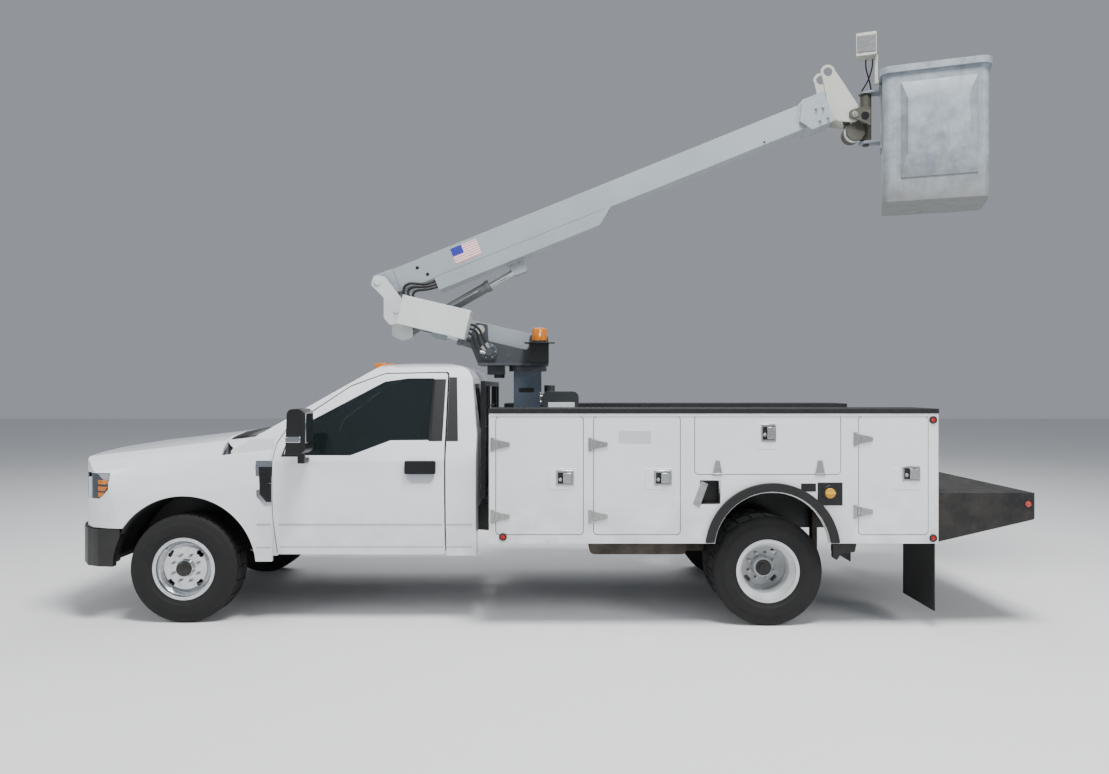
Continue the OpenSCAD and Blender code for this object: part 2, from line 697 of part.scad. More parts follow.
// Arch flares and mud flaps
module rubber_guards() color("#161718") truck() both() {
  translate([-wheelbase, 0, 0]) difference() {
    ycyl(0, flare_z, flare_r, body_y + seat_gap, body_y + 28);
    ycyl(0, flare_z, flare_r - 62, body_y - 2, body_y + 30);
    block(-600, 600, body_y - 5, body_y + 40, 0, 632);
  }
  block(-body_rear + 5, -body_rear + 15, 600, 1150, 130, 625 - seat_gap);
  // bracket behind the rear wheel
  side_prism([[-wheelbase - 613, 625 - seat_gap], [-wheelbase - 440, 625 - seat_gap],
    [-wheelbase - 440, 520], [-wheelbase - 470, 500], [-wheelbase - 500, 545], [-wheelbase - 600, 560]],
    1130, 1170);
}

module tail_platform() color("#1b1c1e") truck() {
  x0 = -body_rear - seat_gap;
  x1 = x0 - tail_l;
  y1 = body_y - 20;
  pts = rounded([[x0, 632, 0], [x0, 985, 0], [x1, 985, 15], [x1, 795, 15]]);
  difference() {
    union() {
      both() side_prism(pts, y1 - 12, y1);
      block(x1, x0, -y1, y1, 965, 985);
      block(x1, x1 + 14, -y1, y1, 800, 985);
      block(x0 - 14, x0, -y1, y1, 640, 985);
      both() side_prism([[x0, 660], [x0, 980], [x1, 980], [x1, 800]], 395, 407);
    }
    // holes for a towing hook
    for (y = [-42.85, 42.85], z = [867.75, 912.25]) xcyl(y, z, 7, x1 - 5, x1 + 20);
  }
}

module body_lamps() color("#b01c1c") truck() {
  y = body_y + seat_gap;
  both() {
    ycyl(-body_front - 100, 706 - 34, 17, y, y + 8);
    for (z = [664, body_top - 45]) ycyl(-body_rear + 38, z, 33 / 2, y, y + 8);
    block(-body_rear - 24, -body_rear - seat_gap, locker_in + 130, locker_in + 330, 1180, 1290);
  }
}

module oil_tank() color("#2b2e30") truck() {
  x = -tower_back - 275;
  side_prism(round_rect(x - 150, x + 150, deck_z + 28 + seat_gap, 1710, 50), -180, 330);
  zcyl(x + 90, 60, 45, 1700, 1760);
}

module pedestal() color("#4a5764") tower() {
  block(-115, 115, -150, 150, 820, 1878 - seat_gap);
  block(-160, 160, -460, 460, 800 + seat_gap, 830);
  for (s = [-1, 1]) side_prism([[s * 114, 825], [s * 160, 825], [s * 114, 925]], -150, 150);
}

module hung(x, z, kind) truck() locker_door(x, z, kind);

module left_front_locker_door() color("#eef0f2") hung(front_x, tall_z, "side");
module left_middle_locker_door() color("#eef0f2") hung(middle_x, tall_z, "side");
module left_drop_door() color("#eef0f2") hung(drop_x, drop_z, "drop");
module left_rear_locker_door() color("#eef0f2") hung(rear_x, tall_z, "side");
module right_front_locker_door() color("#eef0f2") right() hung(front_x, tall_z, "side");
module right_middle_locker_door() color("#eef0f2") right() hung(middle_x, tall_z, "side");
module right_drop_door() color("#eef0f2") right() hung(drop_x, drop_z, "drop");
module right_rear_locker_door() color("#eef0f2") right() hung(rear_x, tall_z, "side");

// ---- lift ----

pin_r = 25;
arm_rod_r = 22;
boom_rod_r = 24;

module turret() color("#565c62") tower() {
  both() difference() {
    side_prism(rounded([[408, 1925, 0], [475, 2095, 30], [467, 2195, 20], [430, 2285, 30],
      [333, 2268, 10], [325, 2128, 20], [-8, 2053, 20], [-20, 2185, 30], [-175, 2185, 40],
      [-175, 1925, 0]]), 150, 170);
    ycyl(395, 2225, 30, 140, 180);
  }
  // pins and the plate they stand on
  ycyl(arm_rear[0], arm_rear[1], pin_r, -178, 178);
  ycyl(link_rear[0], link_rear[1], 15, -178, -112);
  ycyl(lift_base[0], lift_base[1], 20, -172, 172);
  block(-175, 410, -215, 215, 1905 + 20, 1945);
  zcyl(0, 0, 160, 1878, 1930);
  // slewing gearbox hung under the plate
  block(198, 340, -90, 90, 1850, 1930);
  zcyl(244, 0, 45, 1822, 1860);
  // hose swivel on the near side
  ycyl(317, 2037, 66, 169, 215);
  ycyl(317, 2037, 34, 215, 240);
}

module turret_hoses() color("#17181a") tower() for (route = turret_routes) tube(curve(route, 2), hose_r);

module beacon() color("#d98318") tower() {
  y = 258;
  zcyl(-103, y, 62, 2112, 2232);
  block(-228, 22, 182, 334, 2104, 2112);
  block(-180, -25, 182, 290, 1945 + seat_gap, 2104);
}

module arm_frame() translate([arm_rear[0], 0, arm_rear[1]]) rotate([0, -arm_a, 0]) children();

module lower_arm() color("#aab1b4") tower() arm_frame() {
  both() difference() {
    union() {
      block(0, arm_l, 80, 110, -70, 70);
      ycyl(0, 0, 70, 80, 110);
      ycyl(arm_l, 0, 70, 80, 110);
    }
    ycyl(0, 0, pin_r + pin_gap, 70, 120);
    ycyl(arm_l, 0, pin_r + pin_gap, 70, 120);
  }
  block(90, 400, -82, 82, 60, 70);
  block(90, 400, -82, 82, -70, -60);
  // lugs for the lift cylinder's rod, tied to the side plates
  t = 851 / cos(arm_a);
  both() {
    side_prism(round_rect(t - 80, t + 50, -147, -55, 20), 45, 60);
    block(t - 50, t + 20, 59, 82, -69, -56);
  }
}

// White box over the hoses, on the arm's left side
module hose_cover() color("#f0f1f0") tower() arm_frame() {
  a = arm_l - 625;
  difference() {
    block(a, arm_l - 55, 172, 330, -110, 130);
    block(a - 1, arm_l - 75, 190, 312, -92, 112);
  }
  block(a + 60, a + 100, 110 + seat_gap, 173, -30, 30);
  block(a + 300, a + 340, 110 + seat_gap, 173, -30, 30);
}

module levelling_link() color("#7c8488") tower()
  translate([link_rear[0], 0, link_rear[1]]) rotate([0, -arm_a, 0]) difference() {
    union() {
      block(0, arm_l, -140, -120, -20, 20);
      ycyl(0, 0, 28, -140, -120);
      ycyl(arm_l, 0, 28, -140, -120);
    }
    ycyl(0, 0, 15 + pin_gap, -150, -110);
    ycyl(arm_l, 0, 15 + pin_gap, -150, -110);
  }

// Two plates that stay upright while the arm swings under them
module elbow_head() color("#c9cdcd") tower() {
  x = arm_front[0];
  z = arm_front[1];
  both() {
    side_prism(rounded([[x + 106, z + 104, 0], [elbow[0] + 50, elbow[1] - 30, 20],
      [elbow[0] + 35, elbow[1] + 62, 40], [elbow[0] - 62, elbow[1] + 40, 40], [x - 60, z + 74, 30],
      [x - 80, z - 40, 40], [x - 40, z - 110, 30], [x + 60, z - 122, 30], [x + 106, z - 60, 20]]),
      150, 170);
    // lugs for the boom cylinder, between the arm's plates
    side_prism(rounded([[x + 84, z + 96, 0], [x + 20, z + 60, 20], [x - 60, z - 40, 40],
      [x - 120, z - 150, 30], [x - 120, z - 225, 30], [x - 20, z - 245, 20], [x + 55, z - 205, 25],
      [x + 60, z - 92, 20], [x + 84, z - 20, 0]]), 56, 70);
  }
  block(x + 84, x + 106, -151, 151, z - 20, z + 96);
  ycyl(elbow[0], elbow[1], 28, -180, 180);
  ycyl(x, z, pin_r, -178, 178);
  ycyl(link_front[0], link_front[1], 15, -178, -112);
  ycyl(ram_base[0], ram_base[1], 22, -72, 72);
}

// A cylinder's barrel from its base eye, and its rod to the far eye
module barrel_of(p, q, l, r, eye, rod) {
  d = unit(q - p);
  difference() {
    union() {
      ycyl(p[0], p[1], eye + 20, -32, 32);
      bar_xz(p + d * (eye + 12), p + d * l, r, 0);
      bar_xz(p + d * (l - 40), p + d * l, r + 7, 0);
      bar_xz(p + d * 200, p + d * (l - 90), 9, r + 5);
    }
    ycyl(p[0], p[1], eye + pin_gap, -40, 40);
    bar_xz(p + d * (eye + 60), p + d * (l - 40), r - 12, 0);
    bar_xz(p + d * (l - 45), p + d * (l + 5), rod + pin_gap, 0);
  }
}

module rod_of(p, q, l0, r) {
  d = unit(q - p);
  bar_xz(p + d * l0, q - d * 20, r, 0);
  difference() {
    ycyl(q[0], q[1], 32, -40, 40);
    ycyl(q[0], q[1], 16, -45, 45);
  }
}

ram_top = elbow + ram_seat[0] * u_dir + ram_seat[1] * w_dir;

module arm_cylinder() color("#5b6064") tower() barrel_of(lift_base, lift_pin, 470, 42, 20, arm_rod_r);
module arm_piston_rod() color("#c7ccd0") tower() rod_of(lift_base, lift_pin, 110, arm_rod_r);
module boom_cylinder() color("#5b6064") tower() barrel_of(ram_base, ram_top, 840, 45, 22, boom_rod_r);
module boom_piston_rod() color("#c7ccd0") tower() rod_of(ram_base, ram_top, 250, boom_rod_r);

// The boom drawn flat: x out along it from the elbow pin, z square to it
module along_boom() tower() translate([elbow[0], 0, elbow[1]]) rotate([0, 0, 180]) rotate([0, -boom_a, 0])
  children();

module outer_boom() color("#aab1b4") along_boom() {
  hw = boom_w / 2;
  z0 = boom_top - boom_h;
  difference() {
    union() {
      block(150, boom_l, -hw, hw, z0, boom_top);
      side_prism(rounded([[-20, -74, 20], [-72, -20, 30], [-72, 25, 30], [-20, 74, 30],
        [110, boom_top + 8, 0], [160, boom_top, 0], [160, z0, 0], [60, z0 + 20, 30]]), -hw + 4, hw - 4);
      // hose tray under the boom
      side_prism([[447, z0 + 1], [447, z0 - 110], [boom_l - 2155, z0 - 110], [boom_l - 2010, z0 + 1]],
        -hw - 12, hw + 12);
      // collar that guides the inner boom
      side_prism([[boom_l - 276, z0 + 67], [boom_l - 185, boom_top + 24], [boom_l, boom_top + 24],
        [boom_l, z0 - 38], [boom_l - 206, z0 - 38]], -hw - 30, hw + 30);
    }
    block(160, boom_l + 5, -hw + 10, hw - 10, z0 + 10, boom_top - 10);
    block(440, boom_l - 2180, -hw, hw, z0 - 98, z0 - 12);
    ycyl(0, 0, 28 + pin_gap, -hw - 5, hw + 5);
    for (p = [[300, -5], [395, -55]]) ycyl(p[0], p[1], 14, hw - 20, hw + 5);
  }
  // wear pads at the mouth, on all four sides of the inner boom
  pad = [boom_l - 180, boom_l - 20];
  both() block(pad[0], pad[1], hw - 20 + seat_gap, hw - 9, z0 + 40, boom_top - 40);
  block(pad[0], pad[1], -60, 60, boom_top - 20 + seat_gap, boom_top - 9);
  block(pad[0], pad[1], -60, 60, z0 + 9, z0 + 20 - seat_gap);
  // clevis for the boom cylinder, reached by its rod between the plates
  both() side_prism(rounded([[ram_seat[0] - 75, z0 - 100, 0], [ram_seat[0] + 80, z0 - 100, 0],
    [ram_seat[0] + 65, ram_seat[1] - 50, 15], [ram_seat[0] - 45, ram_seat[1] - 50, 20]]), 47, 62);
}

// A smooth curve through the points of a hose's route
function curve(p, n) = concat([for (i = [0:len(p) - 2], k = [0:n - 1])
  let (a = p[max(i - 1, 0)], b = p[i], c = p[i + 1], d = p[min(i + 2, len(p) - 1)], t = k / n)
  0.5 * (2 * b + (c - a) * t + (2 * a - 5 * b + 4 * c - d) * t * t + (3 * b - a - 3 * c + d) * t * t * t)],
  [p[len(p) - 1]]);

// A round tube swept along a route that never runs across the truck
module tube(route, r, sides = 8) {
  m = len(route) - 1;
  rings = [for (i = [0:m])
    let (t = unit(route[min(i + 1, m)] - route[max(i - 1, 0)]), n = unit(cross(t, [0, 1, 0])),
      b = cross(n, t))
    for (k = [0:sides - 1]) route[i] + r * (cos(360 * k / sides) * n + sin(360 * k / sides) * b)];
  walls = [for (i = [0:m - 1], k = [0:sides - 1])
    let (q = (k + 1) % sides) [i * sides + k, i * sides + q, (i + 1) * sides + q, (i + 1) * sides + k]];
  ends = [[for (k = [sides - 1:-1:0]) k], [for (k = [0:sides - 1]) m * sides + k]];
  polyhedron(rings, concat(walls, ends));
}

// Hoses looped from the tray down to the elbow, between the head's plate and the boom
module boom_hoses() color("#17181a") along_boom()
  for (route = boom_routes) tube(curve(route, 2), hose_r);

module inner_boom() color("#b9bec0") along_boom() {
  iw = boom_w / 2 - 20;
  z0 = boom_top - boom_h + 20;
  z1 = boom_top - 20;
  end = boom_l + 130;
  difference() {
    block(boom_l - 3060, boom_l + 70, -iw, iw, z0, z1);
    block(boom_l - 3070, boom_l + 60, -iw + 10, iw - 10, z0 + 10, z1 - 10);
  }
  // side plates of the tip, with the lifting eye on top
  c = level_uw;
  both() difference() {
    union() {
      side_prism(rounded([[boom_l + 12, boom_mid + 34, 10], [boom_l + 54, boom_mid + 270, 10],
        [boom_l + 168, boom_mid + 270, 10], [boom_l + 200, boom_mid + 126, 20],
        [boom_l + 240, boom_mid - 80, 30], [c[0] + 48, c[1] - 20, 20], [c[0] - 10, c[1] - 62, 30],
        [boom_l + 40, boom_mid - 150, 20], [boom_l + 12, boom_mid - 120, 10]]), iw, iw + 16);
      ycyl(boom_l + 111, boom_mid + 268, 60, iw, iw + 16);
    }
    ycyl(boom_l + 111, boom_mid + 268, 38, iw - 5, iw + 30);
    ycyl(c[0], c[1], 30 + pin_gap, iw - 5, iw + 30);
  }
}

module carrier_xy() tower() translate([level_pin[0], 0, level_pin[1]]) children();

// Held level by the boom's linkage; carries the bucket's upright shaft
module bucket_carrier() color("#595b58") carrier_xy() {
  both() side_prism(rounded([[46, -20, 20], [46, 30, 20], [-40, 60, 20], [-130, 60, 0], [-130, -90, 0],
    [-20, -46, 20]]), 112, 126);
  block(-130, -112, -126, 126, -88, 58);
  ycyl(0, 0, 30, -126, 126);
  zcyl(-135, 0, 46, -196, 196);
  zcyl(-135, 0, 25, -236, 236);
  // rotary housing under the pin
  ycyl(-25, -128, 78, -78, 78);
  block(-130, -60, -60, 60, -150, -60);
}

// Routes of the two control cables, from the control box's foot to the bucket's upper ear. Heights
// are over the bucket's rim
cable_routes = [[[-55, 80, 165], [-50, 72, 90], [-20, 20, 10], [22, -22, -50], [43, -35, -82]],
  [[0, 90, 165], [-4, 62, 90], [-28, 6, 10], [-42, -26, -50], [-41, -38, -82]]];
cable_r = 4.5;

// Bucket drawn straight behind its shaft, then swung
module at_bucket() tower() translate([swing_x, 0, 0]) rotate([0, 0, -bucket_yaw]) children();

module bucket() color("#8d959b") at_bucket() {
  x0 = -face_d - bucket_l;
  x1 = -face_d;
  h = bucket_w / 2;
  zb = bucket_bottom;
  zt = bucket_top;
  difference() {
    union() {
      plan_prism(round_rect(x0, x1, -h, h, 75), zb, zt);
      plan_prism(round_rect(x0 - 24, x1 + 24, -h - 24, h + 24, 90), zt - 55, zt);
      // moulded step on the left side
      intersection() {
        side_prism([[x0 + 30, zb + 170], [x0 + 30, zt - 130], [x1 - 60, zt - 130], [x1 - 60, zb + 170]],
          h - 20, h + 80);
        front_prism([[h - 15, zb + 180], [h - 15, zt - 130], [h + 8, zt - 140], [h + 62, zt - 290],
          [h + 62, zb + 390], [h + 8, zb + 190]], x0, x1);
        plan_prism([[x0 + 60, h - 18], [x0 + 150, h + 62], [x1 - 190, h + 62], [x1 - 120, h - 18]], zb, zt);
      }
    }
    plan_prism(round_rect(x0 + 14, x1 - 14, -h + 14, h - 14, 62), zb + 18, zt + 5);
  }
  // mounting plate and the two ears on the shaft
  zc = level_pin[1];
  block(x1 - 1, x1 + 14, -105, 105, zc - 290, zc + 262);
  difference() {
    for (z = [202, -222]) {
      block(x1 + 5, -20, -60, 60, zc + z, zc + z + 20);
      zcyl(0, 0, 60, zc + z, zc + z + 20);
    }
    zcyl(0, 0, 25 + pin_gap, zc - 300, zc + 300);
  }
}

module bucket_controls() color("#83888c") at_bucket() {
  x1 = -face_d + 24;
  z = bucket_top;
  block(x1 + 20, x1 + 180, 60, 200, z + 160, z + 350);
  block(x1 + 10, x1 + 34, 110, 150, z - 70, z + 170);
  block(x1 + seat_gap, x1 + 34, 110, 150, z - 70, z - 40);
  translate([0, 0, z]) for (route = cable_routes) {
    tube(curve(route, 2), cable_r);
    foot = route[4];
    block(foot[0] - 8, foot[0] + 8, foot[1] - 8, foot[1] + 8, seat_gap - 90, -74);
  }
}

frame_rails();
axles();
driveline();
front_bumper();
grille();
headlamps();
fenders();
hood();
cab_shell();
cab_glass();
cab_interior();
left_door();
left_window();
left_mirror();
right_door();
right_window();
right_mirror();
left_knuckle();
right_knuckle();
front_left_tyre();
front_left_rim();
front_right_tyre();
front_right_rim();
rear_left_tyres();
rear_left_rims();
rear_right_tyres();
rear_right_rims();
cab_guard();
service_body();
locker_tops();
rubber_guards();
tail_platform();
body_lamps();
oil_tank();
pedestal();
left_front_locker_door();
left_middle_locker_door();
left_drop_door();
left_rear_locker_door();
right_front_locker_door();
right_middle_locker_door();
right_drop_door();
right_rear_locker_door();
turret();
turret_hoses();
beacon();
lower_arm();
hose_cover();
levelling_link();
elbow_head();
arm_cylinder();
arm_piston_rod();
outer_boom();
boom_hoses();
boom_cylinder();
boom_piston_rod();
inner_boom();
bucket_carrier();
bucket();
bucket_controls();
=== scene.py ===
import bpy
import bmesh
import json
import math
from mathutils import Matrix, Vector
from mathutils.bvhtree import BVHTree


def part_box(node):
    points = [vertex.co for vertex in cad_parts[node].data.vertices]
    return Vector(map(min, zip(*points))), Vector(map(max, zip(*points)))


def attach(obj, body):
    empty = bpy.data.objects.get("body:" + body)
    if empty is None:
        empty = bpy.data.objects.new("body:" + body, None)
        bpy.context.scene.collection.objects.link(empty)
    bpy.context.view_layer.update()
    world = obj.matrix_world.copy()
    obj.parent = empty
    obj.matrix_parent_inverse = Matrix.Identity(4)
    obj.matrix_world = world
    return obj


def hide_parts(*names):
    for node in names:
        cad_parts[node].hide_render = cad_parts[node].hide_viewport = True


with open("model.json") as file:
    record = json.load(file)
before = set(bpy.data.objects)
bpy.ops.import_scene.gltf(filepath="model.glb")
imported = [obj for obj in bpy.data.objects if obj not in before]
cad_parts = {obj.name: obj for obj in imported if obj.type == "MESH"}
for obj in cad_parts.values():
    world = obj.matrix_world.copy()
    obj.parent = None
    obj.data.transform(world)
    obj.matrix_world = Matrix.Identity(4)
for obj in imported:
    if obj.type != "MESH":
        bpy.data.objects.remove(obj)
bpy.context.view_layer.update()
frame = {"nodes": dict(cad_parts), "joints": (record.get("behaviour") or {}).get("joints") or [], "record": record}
nodes = frame["nodes"]
joints = {joint["name"]: joint for joint in frame["joints"]}
bodyOf = {}
for bodyName, members in frame["record"]["behaviour"]["bodies"].items():
    for member in members:
        bodyOf[member] = bodyName


def pivot(joint):
    return Vector(joints[joint]["pos_m"])


# Reference points that everything else is placed from
axleX = pivot("left_steering").x
wheelZ = pivot("left_steering").z
towerX = pivot("slew").x
elbow = pivot("boom_lift")
levelPin = pivot("bucket_level")
swing = pivot("bucket_swing")
boomAlong = Vector(joints["telescope"]["axis"])
boomUp = Vector((boomAlong.z, 0, -boomAlong.x))
bodyLow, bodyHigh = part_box("service_body")


# Camera, light and floor

cameraFacts = {"back": 2.742, "side": 7.3, "height": 1.745, "lens": 27.72}


def makeCamera(facts):
    data = bpy.data.cameras.new("camera")
    data.lens = facts["lens"]
    data.sensor_width = 36
    data.clip_end = 200
    camera = bpy.data.objects.new("camera", data)
    camera.location = (axleX - facts["back"], facts["side"], facts["height"])
    camera.rotation_euler = (math.radians(90), 0, math.radians(180))
    bpy.context.scene.collection.objects.link(camera)
    bpy.context.scene.camera = camera


lightFacts = {
    "skyColour": (0.80, 0.86, 0.95), "skyStrength": 0.38,
    "lamps": [  # place, size, watts
        ((-1.5, 4.5, 11.0), 3.5, 1750),
        ((-8.0, 6.0, 4.5), 3.5, 300),
        ((8.5, 5.0, 4.5), 3.5, 260),
        ((0.0, -8.0, 9.0), 7.0, 520),
    ],
}


def makeLights(facts):
    world = bpy.data.worlds.new("studio")
    world.use_nodes = True
    background = world.node_tree.nodes["Background"]
    background.inputs["Color"].default_value = (*facts["skyColour"], 1)
    background.inputs["Strength"].default_value = facts["skyStrength"]
    bpy.context.scene.world = world
    for place, size, watts in facts["lamps"]:
        data = bpy.data.lights.new("softbox", "AREA")
        data.size = size
        data.energy = watts
        lamp = bpy.data.objects.new("softbox", data)
        lamp.location = place
        aim = Vector((0, 0, 1.4)) - Vector(place)
        lamp.rotation_euler = aim.to_track_quat("-Z", "Y").to_euler()
        bpy.context.scene.collection.objects.link(lamp)


# Materials

def linear(hexColour):
    channels = [int(hexColour[i:i + 2], 16) / 255 for i in (1, 3, 5)]
    return tuple(c / 12.92 if c < 0.04045 else ((c + 0.055) / 1.055) ** 2.4 for c in channels) + (1,)


def addNode(tree, kind, settings=None, **inputs):
    node = tree.nodes.new(kind)
    for name, value in (settings or {}).items():
        setattr(node, name, value)
    for name, value in inputs.items():
        key = int(name[1:]) if name[0] == "i" and name[1:].isdigit() else name.replace("_", " ")
        if isinstance(value, bpy.types.NodeSocket):
            tree.links.new(value, node.inputs[key])
        else:
            node.inputs[key].default_value = value
    return node


def startMaterial(name):
    material = bpy.data.materials.new(name)
    material.use_nodes = True
    tree = material.node_tree
    tree.nodes.clear()
    output = tree.nodes.new("ShaderNodeOutputMaterial")
    shader = tree.nodes.new("ShaderNodeBsdfPrincipled")
    tree.links.new(shader.outputs["BSDF"], output.inputs["Surface"])
    place = tree.nodes.new("ShaderNodeTexCoord").outputs["Object"]
    return material, tree, shader, place


def noiseOf(tree, place, perMetre, detail=3, roughness=0.55):
    return addNode(tree, "ShaderNodeTexNoise", Vector=place, Scale=perMetre, Detail=detail,
                   Roughness=roughness).outputs["Fac"]


def ramped(tree, value, low, high, toLow=0.0, toHigh=1.0):
    return addNode(tree, "ShaderNodeMapRange", {"clamp": True}, Value=value, From_Min=low, From_Max=high,
                   To_Min=toLow, To_Max=toHigh).outputs["Result"]


def multiplied(tree, a, b):
    return addNode(tree, "ShaderNodeMath", {"operation": "MULTIPLY"}, i0=a, i1=b).outputs[0]


def mixedColour(tree, factor, a, b):
    mix = addNode(tree, "ShaderNodeMix", {"data_type": "RGBA"}, i0=factor)
    for socket, colour in ((mix.inputs[6], a), (mix.inputs[7], b)):
        if isinstance(colour, bpy.types.NodeSocket):
            tree.links.new(colour, socket)
        else:
            socket.default_value = colour
    return mix.outputs[2]


# A coat of paint: clean colour, road dust that thickens low down, and fine grain in its gloss
def makePaint(name, facts):
    material, tree, shader, place = startMaterial(name)
    height = addNode(tree, "ShaderNodeSeparateXYZ", Vector=place).outputs["Z"]
    low = ramped(tree, height, facts["dustTop"], facts["dustTop"] - 0.55)
    patch = ramped(tree, noiseOf(tree, place, 7, 6), 0.35, 0.7)
    dust = multiplied(tree, multiplied(tree, low, patch), facts["dust"])
    shade = ramped(tree, noiseOf(tree, place, 1.6, 3), 0.3, 0.7)
    base = mixedColour(tree, shade, linear(facts["colour"]), linear(facts["shade"]))
    worn = base
    if facts["wear"]:
        edge = addNode(tree, "ShaderNodeNewGeometry").outputs["Pointiness"]
        chip = multiplied(tree, ramped(tree, edge, 0.53, 0.60),
                          ramped(tree, noiseOf(tree, place, 38, 5), 0.5, 0.62))
        spots = ramped(tree, noiseOf(tree, place, 55, 4, 0.7), 0.70, 0.78)
        both = addNode(tree, "ShaderNodeMath", {"operation": "MAXIMUM"}, i0=chip, i1=spots).outputs[0]
        worn = mixedColour(tree, multiplied(tree, both, facts["wear"]), base, linear(facts["under"]))
    tree.links.new(mixedColour(tree, dust, worn, linear("#8a8172")), shader.inputs["Base Color"])
    rough = addNode(tree, "ShaderNodeMath", {"operation": "MULTIPLY_ADD"}, i0=dust, i1=0.5,
                    i2=facts["roughness"]).outputs[0]
    rough = addNode(tree, "ShaderNodeMath", {"operation": "MULTIPLY_ADD"}, i0=noiseOf(tree, place, 18, 4),
                    i1=facts["grain"], i2=rough).outputs[0]
    tree.links.new(rough, shader.inputs["Roughness"])
    peel = addNode(tree, "ShaderNodeBump", Strength=facts["bump"], Distance=0.0006,
                   Height=noiseOf(tree, place, facts["peel"], 2))
    tree.links.new(peel.outputs["Normal"], shader.inputs["Normal"])
    shader.inputs["Coat Weight"].default_value = facts["coat"]
    shader.inputs["Coat Roughness"].default_value = 0.06
    shader.inputs["IOR"].default_value = 1.5
    return material


# Bare or plated metal with a fine directional or cloudy finish
def makeMetal(name, facts):
    material, tree, shader, place = startMaterial(name)
    cloud = noiseOf(tree, place, facts["perMetre"], 4)
    colour = mixedColour(tree, ramped(tree, cloud, 0.3, 0.7), linear(facts["colour"]), linear(facts["shade"]))
    tree.links.new(colour, shader.inputs["Base Color"])
    shader.inputs["Metallic"].default_value = 1
    tree.links.new(ramped(tree, cloud, 0.25, 0.75, facts["roughness"], facts["roughness"] + facts["spread"]),
                   shader.inputs["Roughness"])
    bump = addNode(tree, "ShaderNodeBump", Strength=facts["bump"], Distance=0.0004,
                   Height=noiseOf(tree, place, facts["perMetre"] * 9, 3))
    tree.links.new(bump.outputs["Normal"], shader.inputs["Normal"])
    return material


# Moulded plastic, rubber or cloth: one colour with dust in its grain
def makeMoulded(name, facts):
    material, tree, shader, place = startMaterial(name)
    dusty = multiplied(tree, ramped(tree, noiseOf(tree, place, facts["patches"], 5), 0.42, 0.72),
                       facts["dust"])
    colour = mixedColour(tree, dusty, linear(facts["colour"]), linear(facts["dustColour"]))
    tree.links.new(colour, shader.inputs["Base Color"])
    tree.links.new(ramped(tree, dusty, 0, 1, facts["roughness"], min(1, facts["roughness"] + 0.3)),
                   shader.inputs["Roughness"])
    grain = noiseOf(tree, place, facts["grain"], 3)
    bump = addNode(tree, "ShaderNodeBump", Strength=facts["bump"], Distance=0.0008, Height=grain)
    tree.links.new(bump.outputs["Normal"], shader.inputs["Normal"])
    shader.inputs["IOR"].default_value = facts["ior"]
    return material


# Glass and clear lenses; the dust film only changes how sharp the gloss is
def makeClear(name, facts):
    material, tree, shader, place = startMaterial(name)
    shader.inputs["Base Color"].default_value = linear(facts["colour"])
    shader.inputs["Transmission Weight"].default_value = facts["clear"]
    shader.inputs["IOR"].default_value = facts["ior"]
    film = ramped(tree, noiseOf(tree, place, 5, 5), 0.35, 0.75, facts["roughness"], facts["roughness"] + 0.06)
    tree.links.new(film, shader.inputs["Roughness"])
    if facts["ribs"]:
        height = addNode(tree, "ShaderNodeSeparateXYZ", Vector=place).outputs["Z"]
        wave = addNode(tree, "ShaderNodeMath", {"operation": "SINE"},
                       i0=multiplied(tree, height, 2 * math.pi * facts["ribs"])).outputs[0]
        bump = addNode(tree, "ShaderNodeBump", Strength=0.5, Distance=0.002, Height=wave)
        tree.links.new(bump.outputs["Normal"], shader.inputs["Normal"])
    return material


# Sun-bleached gelcoat over glass fibre: chalky patches, scuffs, brown grime that has run down
def makeFibreglass(name, facts):
    material, tree, shader, place = startMaterial(name)
    chalk = ramped(tree, noiseOf(tree, place, 9, 8, 0.65), 0.38, 0.68)
    base = mixedColour(tree, chalk, linear(facts["colour"]), linear(facts["chalk"]))
    stretched = addNode(tree, "ShaderNodeMapping", Vector=place, Scale=(14, 14, 1.6)).outputs["Vector"]
    runs = ramped(tree, noiseOf(tree, stretched, 1.0, 6, 0.6), 0.50, 0.72)
    height = addNode(tree, "ShaderNodeSeparateXYZ", Vector=place).outputs["Z"]
    foot = ramped(tree, height, facts["foot"] + 0.35, facts["foot"])
    grime = addNode(tree, "ShaderNodeMath", {"operation": "MULTIPLY_ADD", "use_clamp": True}, i0=foot,
                    i1=0.55, i2=multiplied(tree, runs, 0.35)).outputs[0]
    dirty = mixedColour(tree, grime, base, linear(facts["grime"]))
    scuff = ramped(tree, noiseOf(tree, place, 70, 6, 0.75), 0.66, 0.74)
    tree.links.new(mixedColour(tree, multiplied(tree, scuff, 0.6), dirty, linear(facts["scuff"])),
                   shader.inputs["Base Color"])
    tree.links.new(ramped(tree, chalk, 0, 1, 0.42, 0.78), shader.inputs["Roughness"])
    weave = addNode(tree, "ShaderNodeTexVoronoi", Vector=place, Scale=90).outputs["Distance"]
    bump = addNode(tree, "ShaderNodeBump", Strength=0.18, Distance=0.001, Height=weave)
    tree.links.new(bump.outputs["Normal"], shader.inputs["Normal"])
    shader.inputs["IOR"].default_value = 1.52
    return material


